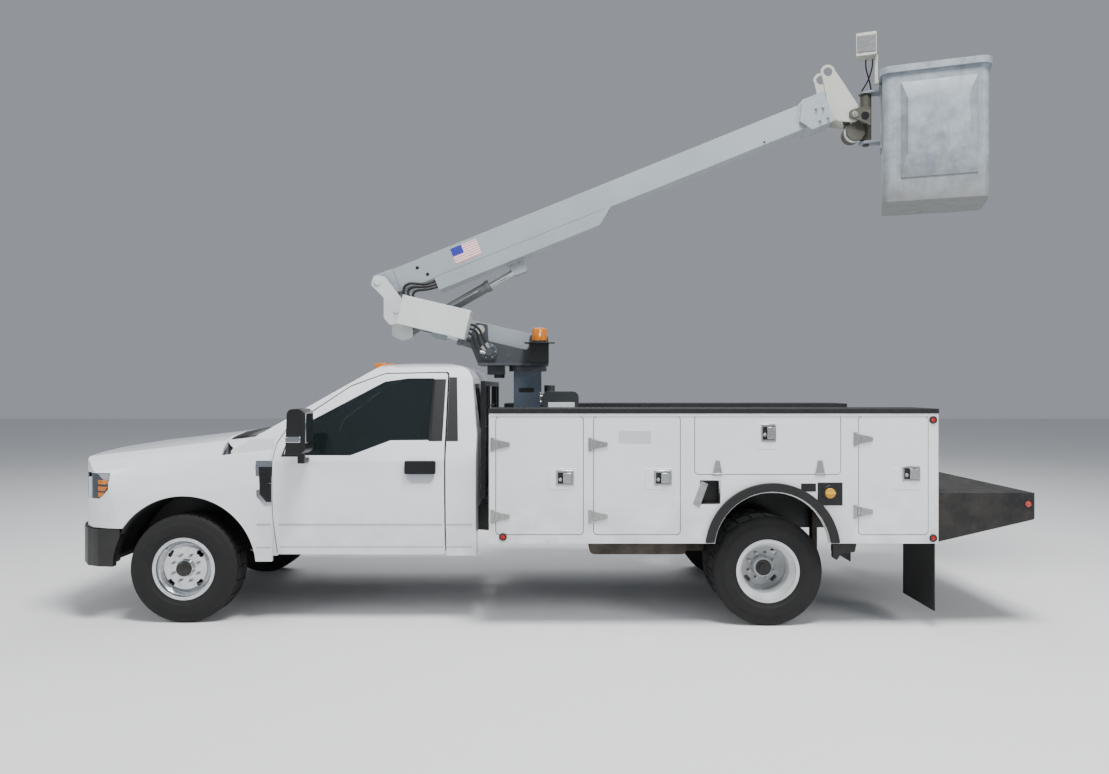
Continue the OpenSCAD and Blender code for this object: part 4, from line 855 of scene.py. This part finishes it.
def makeStrap(name, door, pin, along, across, sign, leaf):
    facts = strapFacts
    bm = bmesh.new()
    addRod(bm, pin - across * facts["half"], pin + across * facts["half"], facts["barrel"], 20)
    foot = pin + Vector((0, sign * facts["lift"], 0))
    corners = [foot + along * facts["start"] - across * facts["wide"],
               foot + along * facts["end"] - across * facts["narrow"],
               foot + along * facts["end"] + across * facts["narrow"], foot + along * facts["start"] + across * facts["wide"]]
    addPlate(bm, corners, (0, sign * (facts["proud"] - facts["lift"]), 0))
    for reach in facts["bolts"]:
        addBolt(bm, pin + along * reach + Vector((0, sign * facts["proud"], 0)), (0, sign, 0), 0.008, 0.006)
    addBox(bm, *boxBetween(pin + along * 0.004 + across * 0.024 + Vector((0, sign * 0.002, 0)),
                           pin + along * 0.016 - across * 0.024 + Vector((0, sign * 0.007, 0))))
    newPiece(name, bm, door, "zincPlate", 0.002)
    if leaf:
        bm = bmesh.new()
        addBox(bm, *boxBetween(foot - along * 0.014 - across * 0.05,
                               pin - along * 0.040 + across * 0.05 + Vector((0, sign * 0.006, 0))))
        newPiece(name + "_leaf", bm, "chassis", "zincPlate", 0.002)


def makeLatch(name, door, x, z, sign, upright):
    wide, tall = (0.13, 0.11) if not upright else (0.11, 0.13)
    face = sign * skinY
    bm = bmesh.new()
    y0, y1 = sorted((face - sign * 0.010, face + sign * 0.007))
    addBox(bm, (x - wide / 2, y0, z - tall / 2), (x + wide / 2, y1, z + tall / 2))
    newPiece(name + "_plate", bm, door, "stainless", 0.004)
    bm = bmesh.new()
    y0, y1 = sorted((face, face + sign * 0.009))
    addBox(bm, (x - wide * 0.40, y0, z - tall * 0.38), (x + wide * 0.40, y1, z + tall * 0.38))
    newPiece(name + "_dish", bm, door, "chassisBlack", 0.006)
    bm = bmesh.new()
    y0, y1 = sorted((face + sign * 0.006, face + sign * 0.019))
    addBox(bm, (x - wide * 0.36, y0, z - tall * 0.33), (x + wide * 0.10, y1, z + tall * 0.33))
    addRod(bm, (x + wide * 0.26, face, z - tall * 0.1), (x + wide * 0.26, face + sign * 0.015,
                                                         z - tall * 0.1), 0.012, 20)
    newPiece(name + "_paddle", bm, door, "stainless", 0.003)


# Heights and places along the body of its hinges and latches, in metres from the front axle
lockerFacts = {"front": dict(latch=(-2.817, 1.094), straps=(1.334, 0.818)),
               "middle": dict(latch=(-3.518, 1.094), straps=(1.334, 0.818)),
               "rear": dict(latch=(-5.293, 1.126), straps=(1.373, 0.854))}
dropFacts = dict(latch=(-4.273, 1.416), straps=(-3.908, -4.642))
alongBody, upBody = Vector((-1, 0, 0)), Vector((0, 0, 1))
for side, sign in sides:
    for kind, facts in lockerFacts.items():
        door = "%s_%s_locker_door" % (side, kind)
        place = pivot(door + "_hinge")
        for i, z in enumerate(facts["straps"]):
            makeStrap("%s_strap_%d" % (door, i), door, Vector((place.x, place.y, z)), alongBody, upBody,
                      sign, True)
        makeLatch(door + "_latch", door, axleX + facts["latch"][0], facts["latch"][1], sign, False)
    door = side + "_drop_door"
    place = pivot(door + "_hinge")
    for i, x in enumerate(dropFacts["straps"]):
        makeStrap("%s_strap_%d" % (door, i), door, Vector((axleX + x, place.y, place.z)), upBody, alongBody,
                  sign, False)
    makeLatch(door + "_latch", door, axleX + dropFacts["latch"][0], dropFacts["latch"][1], sign, True)
    # blank plate on the second locker, blank plate beside the filler
    y0, y1 = sorted((sign * skinY, sign * (skinY + 0.0015)))
    bm = bmesh.new()
    addBox(bm, (axleX - 3.432, y0, 1.344), (axleX - 3.203, y1, 1.430))
    newPiece(side + "_locker_label", bm, side + "_middle_locker_door", "labelGrey", 0)

# Fuel filler in its black dish, on the left only, with its cap
bm = bmesh.new()
addBox(bm, (axleX - 4.803, skinY - 0.004, 0.897), (axleX - 4.624, skinY + 0.006, 1.062))
newPiece("filler_plate", bm, "chassis", "blackPlastic", 0.005, 40, 3)
bm = bmesh.new()
centre = Vector((axleX - 4.710, skinY, 0.987))
addRod(bm, centre, centre + Vector((0, 0.012, 0)), 0.056, 40)
newPiece("filler_ring", bm, "chassis", "chassisBlack", 0.004)
bm = bmesh.new()
addRod(bm, centre + Vector((0, 0.01, 0)), centre + Vector((0, 0.024, 0)), 0.036, 32)
addBox(bm, centre + Vector((-0.034, 0.022, -0.009)), centre + Vector((0.034, 0.038, 0.009)))
newPiece("filler_cap", bm, "chassis", "yellowCap", 0.003)
bm = bmesh.new()
addBox(bm, (axleX - 4.613, skinY - 0.001, 0.997), (axleX - 4.506, skinY + 0.0015, 1.055))
newPiece("filler_label", bm, "chassis", "blackPlastic", 0)

# Bezels round the lamps, and the straps over the chock pockets
bezel = [(0.0182, 0), (0.0280, 0), (0.0270, 0.006), (0.0225, 0.0095), (0.0182, 0.008), (0.0182, 0)]
strapCorners = [(-3.794, 1.072), (-3.840, 1.051), (-3.779, 0.883), (-3.733, 0.908)]
for side, sign in sides:
    bm = bmesh.new()
    for x, z in ((-2.373, 0.672), (-5.451, 0.664), (-5.451, 1.510)):
        centre = Vector((axleX + x, sign * (skinY + 0.0005), z))
        ring = bmesh.new()
        spun(ring, [Vector((r, y * sign, 0)) for r, y in bezel], (0, 0, 0), (0, 1, 0), 40)
        bmesh.ops.translate(ring, verts=ring.verts, vec=centre)
        spare = bpy.data.meshes.new("ring")
        ring.to_mesh(spare)
        ring.free()
        bm.from_mesh(spare)
    newPiece(side + "_lamp_bezels", bm, "chassis", "blackRubber")
    bm = bmesh.new()
    face = sign * (skinY + 0.002)
    corners = [(axleX + x, face, z) for x, z in strapCorners]
    addPlate(bm, corners, (0, sign * 0.004, 0))
    newPiece(side + "_chock_strap", bm, "chassis", "greyWebbing", 0.001)

# Black lining of the chock pockets
pocketLow, pocketHigh = Vector((-3.920, 0.002, 0.912)), Vector((-3.792, 0.049, 1.072))
lining = 0.003
for side, sign in sides:
    bm = bmesh.new()
    x0, x1, z0, z1 = axleX + pocketLow.x, axleX + pocketHigh.x, pocketLow.z, pocketHigh.z
    y0, y1 = sorted((sign * (skinY - pocketHigh.y), sign * (skinY - pocketLow.y)))
    back0, back1 = sorted((sign * (skinY - pocketHigh.y), sign * (skinY - pocketHigh.y + lining)))
    addBox(bm, (x0, back0, z0), (x1, back1, z1))
    for low, high in (((x0, z0), (x0 + lining, z1)), ((x1 - lining, z0), (x1, z1)),
                      ((x0, z0), (x1, z0 + lining)), ((x0, z1 - lining), (x1, z1))):
        addBox(bm, (low[0], y0, low[1]), (high[0], y1, high[1]))
    newPiece(side + "_chock_lining", bm, "chassis", "blackRubber")

# Bright edge strip under each locker roof
bm = bmesh.new()
for side, sign in sides:
    y0, y1 = sorted((sign * (skinY - 0.004), sign * (skinY + 0.004)))
    addBox(bm, (bodyLow.x + 0.01, y0, bodyHigh.z - 0.022), (bodyHigh.x - 0.01, y1, bodyHigh.z - 0.010))
newPiece("roof_edge_strips", bm, "chassis", "wheelWhite", 0.002)

# Raised checker pattern on the roof sheets and the platform
def makeChecker(name, node, z, x0, x1, y0, y1, pitch):
    bm = bmesh.new()
    across, along = int((y1 - y0) / pitch), int((x1 - x0) / pitch)
    for i in range(along):
        for j in range(across):
            x, y = x0 + (i + 0.5) * pitch, y0 + (j + 0.5) * pitch
            dx, dy = (0.016, 0.0035) if (i + j) % 2 else (0.0035, 0.016)
            verts = [bm.verts.new((x - dx, y, z)), bm.verts.new((x, y - dy, z)), bm.verts.new((x + dx, y, z)),
                     bm.verts.new((x, y + dy, z))]
            peak = bm.verts.new((x, y, z + 0.0016))
            for a, b in zip(verts, verts[1:] + verts[:1]):
                bm.faces.new((a, b, peak))
    newPiece(name, bm, bodyOf[node], "grittyBlack", 0)


platformLow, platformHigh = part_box("tail_platform")
makeChecker("platform_checker", "tail_platform", platformHigh.z, platformLow.x + 0.03, platformHigh.x - 0.03,
            platformLow.y + 0.03, platformHigh.y - 0.03, 0.045)
topLow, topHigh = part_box("locker_tops")
for side, sign in sides:
    y0, y1 = sorted((sign * (topHigh.y - 0.44), sign * (topHigh.y - 0.02)))
    makeChecker(side + "_roof_checker", "locker_tops", topHigh.z, topLow.x + 0.03, topHigh.x - 0.03, y0, y1,
                0.045)
bm = bmesh.new()
centre = Vector((axleX - 6.141, platformHigh.y, 0.905))
addRod(bm, centre, centre + Vector((0, 0.006, 0)), 0.022, 28)
newPiece("tail_reflector", bm, "chassis", "redLens", 0.002)

# Pedestal plate and the tank's pale panel
bm = bmesh.new()
pedestalY = 0.150
addBox(bm, (axleX - 2.570, pedestalY, 1.703), (axleX - 2.445, pedestalY + 0.003, 1.737))
newPiece("pedestal_plate", bm, "chassis", "blackPlastic", 0)
tankLow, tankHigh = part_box("oil_tank")
bm = bmesh.new()
addBox(bm, (tankLow.x + 0.035, tankHigh.y - 0.001, tankLow.z + 0.40),
       (tankHigh.x - 0.05, tankHigh.y + 0.004, tankHigh.z - 0.14))
newPiece("tank_panel", bm, "chassis", "labelGrey", 0.003)
bm = bmesh.new()
for z in (1.62, 1.665):
    addRod(bm, (tankHigh.x - 0.02, tankHigh.y - 0.03, z), (tankHigh.x + 0.018, tankHigh.y - 0.03, z), 0.016,
           16)
addRod(bm, (tankHigh.x + 0.012, tankHigh.y - 0.03, 1.60), (tankHigh.x + 0.012, tankHigh.y - 0.03, 1.70),
       0.012, 16)
newPiece("tank_fittings", bm, "chassis", "zincPlate", 0.002)
print("locker hardware made")


# Lift trim

def boomPoint(u, w, y):
    return elbow + boomAlong * u + boomUp * w + Vector((0, y, 0))


def towerPoint(x, y, z):
    return Vector((towerX + x, y, z))


def smoothRoute(points, steps=8):
    points = [Vector(point) for point in points]
    route = []
    for i in range(len(points) - 1):
        a, b = points[max(i - 1, 0)], points[i]
        c, d = points[i + 1], points[min(i + 2, len(points) - 1)]
        for k in range(steps):
            t = k / steps
            route.append(0.5 * (2 * b + (c - a) * t + (2 * a - 5 * b + 4 * c - d) * t * t
                                + (3 * b - a - 3 * c + d) * t ** 3))
    return route + [points[-1]]


def addHose(bm, points, radius, sides=16):
    route = smoothRoute(points)
    side = None
    rings = []
    for i, point in enumerate(route):
        along = (route[min(i + 1, len(route) - 1)] - route[max(i - 1, 0)]).normalized()
        if side is None:
            side = along.cross(Vector((0, 1, 0))).normalized()
        side = (side - along * side.dot(along)).normalized()
        up = along.cross(side)
        rings.append([bm.verts.new(point + radius * (math.cos(2 * math.pi * k / sides) * side
                                                     + math.sin(2 * math.pi * k / sides) * up))
                      for k in range(sides)])
    for a, b in zip(rings, rings[1:]):
        for k in range(sides):
            bm.faces.new((a[k], a[(k + 1) % sides], b[(k + 1) % sides], b[k]))
    bm.faces.new(list(reversed(rings[0])))
    bm.faces.new(rings[-1])


# The hoses' routes, in metres: along and square to the boom, or out from the tower
boomHoses = [
    [(0.500, -0.0987, -0.165), (0.440, -0.099, -0.165), (0.360, -0.125, -0.160), (0.300, -0.130, -0.135),
     (0.240, -0.130, -0.108), (0.190, -0.130, -0.115), (0.165, -0.130, -0.150), (0.158, -0.130, -0.190),
     (0.160, -0.130, -0.230)],
    [(0.500, -0.0987, -0.190), (0.440, -0.099, -0.190), (0.370, -0.125, -0.186), (0.310, -0.130, -0.168),
     (0.260, -0.130, -0.148), (0.215, -0.130, -0.152), (0.195, -0.130, -0.180), (0.192, -0.130, -0.210),
     (0.194, -0.130, -0.240)],
    [(0.500, -0.0987, -0.215), (0.440, -0.099, -0.215), (0.370, -0.125, -0.210), (0.320, -0.130, -0.198),
     (0.275, -0.130, -0.186), (0.240, -0.130, -0.192), (0.225, -0.130, -0.215), (0.222, -0.130, -0.245)]]
turretHoses = [
    [(0.355, 0.227, 2.055), (0.382, 0.230, 2.090), (0.400, 0.232, 2.130), (0.410, 0.234, 2.180),
     (0.435, 0.236, 2.215), (0.475, 0.238, 2.228)],
    [(0.322, 0.227, 2.080), (0.345, 0.230, 2.120), (0.372, 0.232, 2.170), (0.392, 0.234, 2.215),
     (0.430, 0.236, 2.252), (0.468, 0.238, 2.262)],
    [(0.357, 0.227, 2.027), (0.400, 0.230, 2.040), (0.430, 0.232, 2.085), (0.440, 0.234, 2.140),
     (0.455, 0.236, 2.175), (0.483, 0.238, 2.192)]]
bm = bmesh.new()
for route in boomHoses:
    addHose(bm, [boomPoint(u, w, -y) for u, y, w in route], 0.0108)
piece = newPiece("boom_hoses_shown", bm, "outer_boom", "blackRubber", 0, 60)
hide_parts("boom_hoses")
bm = bmesh.new()
for route in turretHoses:
    addHose(bm, [towerPoint(*point) for point in route], 0.0108)
piece = newPiece("turret_hoses_shown", bm, "turret", "blackRubber", 0, 60)
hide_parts("turret_hoses")

# Crimped ferrules where the turret's hoses leave the swivel
bm = bmesh.new()
for route in turretHoses:
    a, b = towerPoint(*route[0]), towerPoint(*route[1])
    way = (b - a).normalized()
    addRod(bm, a - way * 0.004, a + way * 0.034, 0.0145, 18)
    addRod(bm, a - way * 0.014, a - way * 0.002, 0.017, 6)
newPiece("hose_ferrules", bm, "turret", "zincPlate", 0.001)

# Swivel face: bright banded disc and its bolts
bm = bmesh.new()
swivelAt = towerPoint(0.317, 0.215, 2.037)
spun(bm, [Vector((0, 0.000, 0.066)), Vector((0, 0.0, 0.0667)), Vector((0, -0.016, 0.0667)),
          Vector((0, -0.016, 0.0655))],
     (0, 0, 0), (0, 1, 0), 56)
bmesh.ops.translate(bm, verts=bm.verts, vec=swivelAt)
for i in range(6):
    turn = 2 * math.pi * i / 6
    addBolt(bm, swivelAt + Vector((0.050 * math.cos(turn), 0, 0.050 * math.sin(turn))), (0, 1, 0), 0.010,
            0.008)
newPiece("swivel_ring", bm, "turret", "zincPlate", 0.001)
bm = bmesh.new()
addRod(bm, towerPoint(0.395, 0.169, 2.225), towerPoint(0.395, 0.1735, 2.225), 0.038, 40)
newPiece("turret_disc", bm, "turret", "tipGrey", 0.001)

# Beacon: amber ribbed lens on its black plate and bracket
bm = bmesh.new()
outline = [(0.001, 2.2318), (0.030, 2.2316), (0.050, 2.229), (0.058, 2.222), (0.0615, 2.205), (0.0618, 2.128),
           (0.058, 2.1125), (0.001, 2.1125)]
spun(bm, [Vector((r, 0, z)) for r, z in outline], (0, 0, 0), (0, 0, 1), 56)
bmesh.ops.translate(bm, verts=bm.verts, vec=towerPoint(-0.103, 0.258, 0))
lens = newPiece("beacon_lens", bm, "turret", "amberLens", 0, 50)
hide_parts("beacon")
bm = bmesh.new()
addRod(bm, towerPoint(-0.103, 0.258, 2.112), towerPoint(-0.103, 0.258, 2.128), 0.0617, 48)
addBox(bm, towerPoint(-0.228, 0.182, 2.104), towerPoint(0.022, 0.334, 2.112))
addBox(bm, towerPoint(-0.180, 0.182, 1.9453), towerPoint(-0.025, 0.290, 2.104))
newPiece("beacon_stand", bm, "turret", "chassisBlack", 0.002)
bm = bmesh.new()
addRod(bm, towerPoint(-0.103, 0.258, 2.13), towerPoint(-0.103, 0.258, 2.185), 0.022, 24)
newPiece("beacon_lamp", bm, "turret", "brightTrim", 0.004)

# Pin caps with their keeper bolts, on both sides of the arm's lift pin and the levelling pin
def makePinCap(bm, centre, half, radius):
    for sign in (1, -1):
        seat = Vector((centre.x, sign * half, centre.z))
        addRod(bm, seat, seat + Vector((0, sign * 0.004, 0)), radius, 32)
        addBolt(bm, seat + Vector((0, sign * 0.004, 0)), (0, sign, 0), radius * 0.42, 0.010)


def pinGroup(name, body, material, places):
    bm = bmesh.new()
    for centre, half, radius in places:
        makePinCap(bm, centre, half, radius)
    newPiece(name, bm, body, material, 0.001)


armPin = pivot("arm_lift")
pinGroup("turret_pins", "turret", "zincPlate", [(armPin, 0.178, 0.021)])
pinGroup("level_pins", "bucket_carrier", "zincPlate", [(levelPin, 0.1265, 0.026)])

# Collar bolts; the seam of the tray, drawn as thin plates of painted shadow; and black discs of painted shade in
# its holes, two near the root and one further out
boomWide = 0.110
bm = bmesh.new()
collarBolts = ((-4.934, 4.076), (-4.993, 4.084), (-4.968, 3.975), (-5.035, 4.000))
for x, z in collarBolts:
    seat = Vector((axleX + x, 0, z))
    for sign in (1, -1):
        addBolt(bm, seat + Vector((0, sign * (boomWide + 0.030), 0)), (0, sign, 0), 0.015, 0.022)
newPiece("collar_bolts", bm, "outer_boom", "zincPlate", 0.001)
bm = bmesh.new()
for sign in (1, -1):
    for low, high, start, end in ((-0.141, -0.131, 0.45, 2.00), (-0.240, -0.131, 1.70, 1.709)):
        corners = [boomPoint(u, w, sign * (boomWide + 0.0008)) for u,
                   w in ((start, low), (end, low), (end, high), (start, high))]
        addPlate(bm, corners, (0, sign * 0.0012, 0))
newPiece("tray_seam_shadows", bm, "outer_boom", "seamShade", 0)
# black discs of painted shade where the boom's holes are
bm = bmesh.new()
for sign in (1, -1):
    for u, w in ((0.345, -0.005), (0.405, -0.088), (3.45, -0.118)):
        centre = boomPoint(u, w, sign * (boomWide + 0.0004))
        addRod(bm, centre, centre + Vector((0, sign * 0.0012, 0)), 0.014 if u < 1 else 0.009, 24)
newPiece("boom_hole_shades", bm, "outer_boom", "blackPlastic", 0)
bm = bmesh.new()
for sign in (1, -1):
    for du, dw in ((-0.035, 0.035), (0.035, 0.035)):
        seat = boomPoint(1.128 + du, -0.317 + dw, 0)
        hit = skinOf("outer_boom").ray_cast(Vector((seat.x, sign * 2, seat.z)), Vector((0, -sign, 0)))[0]
        if hit:
            addBolt(bm, hit, (0, sign, 0), 0.014, 0.014)
newPiece("clevis_bolts", bm, "outer_boom", "zincPlate", 0.001)

# Banded vinyl patch near the boom's root: a plain block and plain bands
bm = bmesh.new()
addPlate(bm, [boomPoint(u, w, boomWide + 0.0003) for u, w in ((0.66, -0.098), (0.895, -0.098),
                                                              (0.895, 0.038), (0.66, 0.038))],
         (0, 0.0008, 0))
materials["bandedVinyl"] = makeBandedVinyl("bandedVinyl",
                                           dict(corner=boomPoint(0.66, -0.098, 0), bandsPerMetre=50,
                                                             blockLong=0.098, blockFoot=0.066))
newPiece("boom_patch", bm, "outer_boom", "bandedVinyl", 0)

# Steel side pipe on the boom's cylinder and on the arm's cylinder
for name, low, high in (("boom", "boom_cylinder", "boom_piston_rod"),
                        ("arm", "arm_cylinder", "arm_piston_rod")):
    slide = joints[name + "_rod_slide"]
    way = Vector(slide["axis"]).normalized()
    base = pivot(name + "_cylinder_swing")
    barrelLow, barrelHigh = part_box(low)
    corners = [Vector((x, 0, z)) for x in (barrelLow.x, barrelHigh.x) for z in (barrelLow.z, barrelHigh.z)]
    far = max((corner - base).dot(way) for corner in corners)
    radius = 0.046 if name == "boom" else 0.042
    long = far - 0.06
    bm = bmesh.new()
    near = 0.30 if name == "boom" else 0.10  # the head's cheeks pass the boom cylinder's foot
    addHose(bm, [base + way * near + Vector((0, radius + 0.004, 0)),
                 base + way * (near + 0.04) + Vector((0, radius + 0.018, 0)),
                 base + way * (long - 0.16) + Vector((0, radius + 0.018, 0)),
                 base + way * (long - 0.10) + Vector((0, radius + 0.004, 0))], 0.007, 12)
    newPiece(name + "_cylinder_pipe", bm, low, "zincPlate", 0)

# Bucket-end trim: a black disc of painted shade over the port in the carrier, white strap round the housing
bm = bmesh.new()
for sign in (1, -1):
    seat = levelPin + Vector((-0.085, sign * 0.1262, -0.012))
    addRod(bm, seat, seat + Vector((0, sign * 0.002, 0)), 0.034, 32)
newPiece("carrier_port_shades", bm, "bucket_carrier", "blackPlastic", 0)
bm = bmesh.new()
housing = levelPin + Vector((-0.025, 0, -0.128))
spun(bm, [Vector((0, -0.030, 0.0788)), Vector((0, -0.030, 0.0805)), Vector((0, 0.014, 0.0805)),
          Vector((0, 0.014, 0.0788))],
     (0, 0, 0), (0, 1, 0), 48)
bmesh.ops.translate(bm, verts=bm.verts, vec=housing + Vector((0, 0.04, 0)))
newPiece("housing_strap", bm, "bucket_carrier", "coverWhite", 0.0005)

bucketYaw = math.radians(-20)
bucketTop = levelPin.z + 0.312


def bucketPoint(x, y, z):
    c, s = math.cos(bucketYaw), math.sin(bucketYaw)
    return Vector((swing.x + x * c - y * s, x * s + y * c, bucketTop + z))


cableRoutes = [[(-0.055, 0.080, 0.158), (-0.050, 0.072, 0.090), (-0.020, 0.020, 0.010),
                (0.022, -0.022, -0.050),
                (0.043, -0.035, -0.080)],
               [(0.0, 0.090, 0.158), (-0.004, 0.062, 0.090), (-0.028, 0.006, 0.010), (-0.042, -0.026, -0.050),
                (-0.041, -0.038, -0.080)]]
bm = bmesh.new()
for route in cableRoutes:
    addHose(bm, [bucketPoint(*point) for point in route], 0.006, 12)
newPiece("control_cables", bm, "bucket", "blackRubber", 0, 60)


def bucketBox(bm, low, high):
    made = addBox(bm, low, high)
    for vert in made:
        vert.co = bucketPoint(*vert.co)


bm = bmesh.new()
bucketBox(bm, (-0.080, 0.2004, 0.185), (0.068, 0.2045, 0.325))
newPiece("control_panel", bm, "bucket", "barrelGrey", 0.002)
print("lift trim made")

# Tow hooks under the bumper
bumperLow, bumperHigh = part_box("front_bumper")
bm = bmesh.new()
for sign in (1, -1):
    x, y, z = bumperHigh.x - 0.11, sign * 0.42, bumperLow.z + 0.045
    addHose(bm, [(x - 0.02, y, z + 0.05), (x + 0.05, y, z + 0.02), (x + 0.085, y, z - 0.02),
                 (x + 0.06, y, z - 0.055),
                 (x + 0.01, y, z - 0.05)], 0.014, 14)
newPiece("tow_hooks", bm, "chassis", "chassisBlack", 0, 60)


makeCamera(cameraFacts)
makeLights(lightFacts)
bm = bmesh.new()
bmesh.ops.create_grid(bm, x_segments=1, y_segments=1, size=40)
floorMesh = bpy.data.meshes.new("floor")
bm.to_mesh(floorMesh)
bm.free()
floor = bpy.data.objects.new("floor", floorMesh)
bpy.context.scene.collection.objects.link(floor)
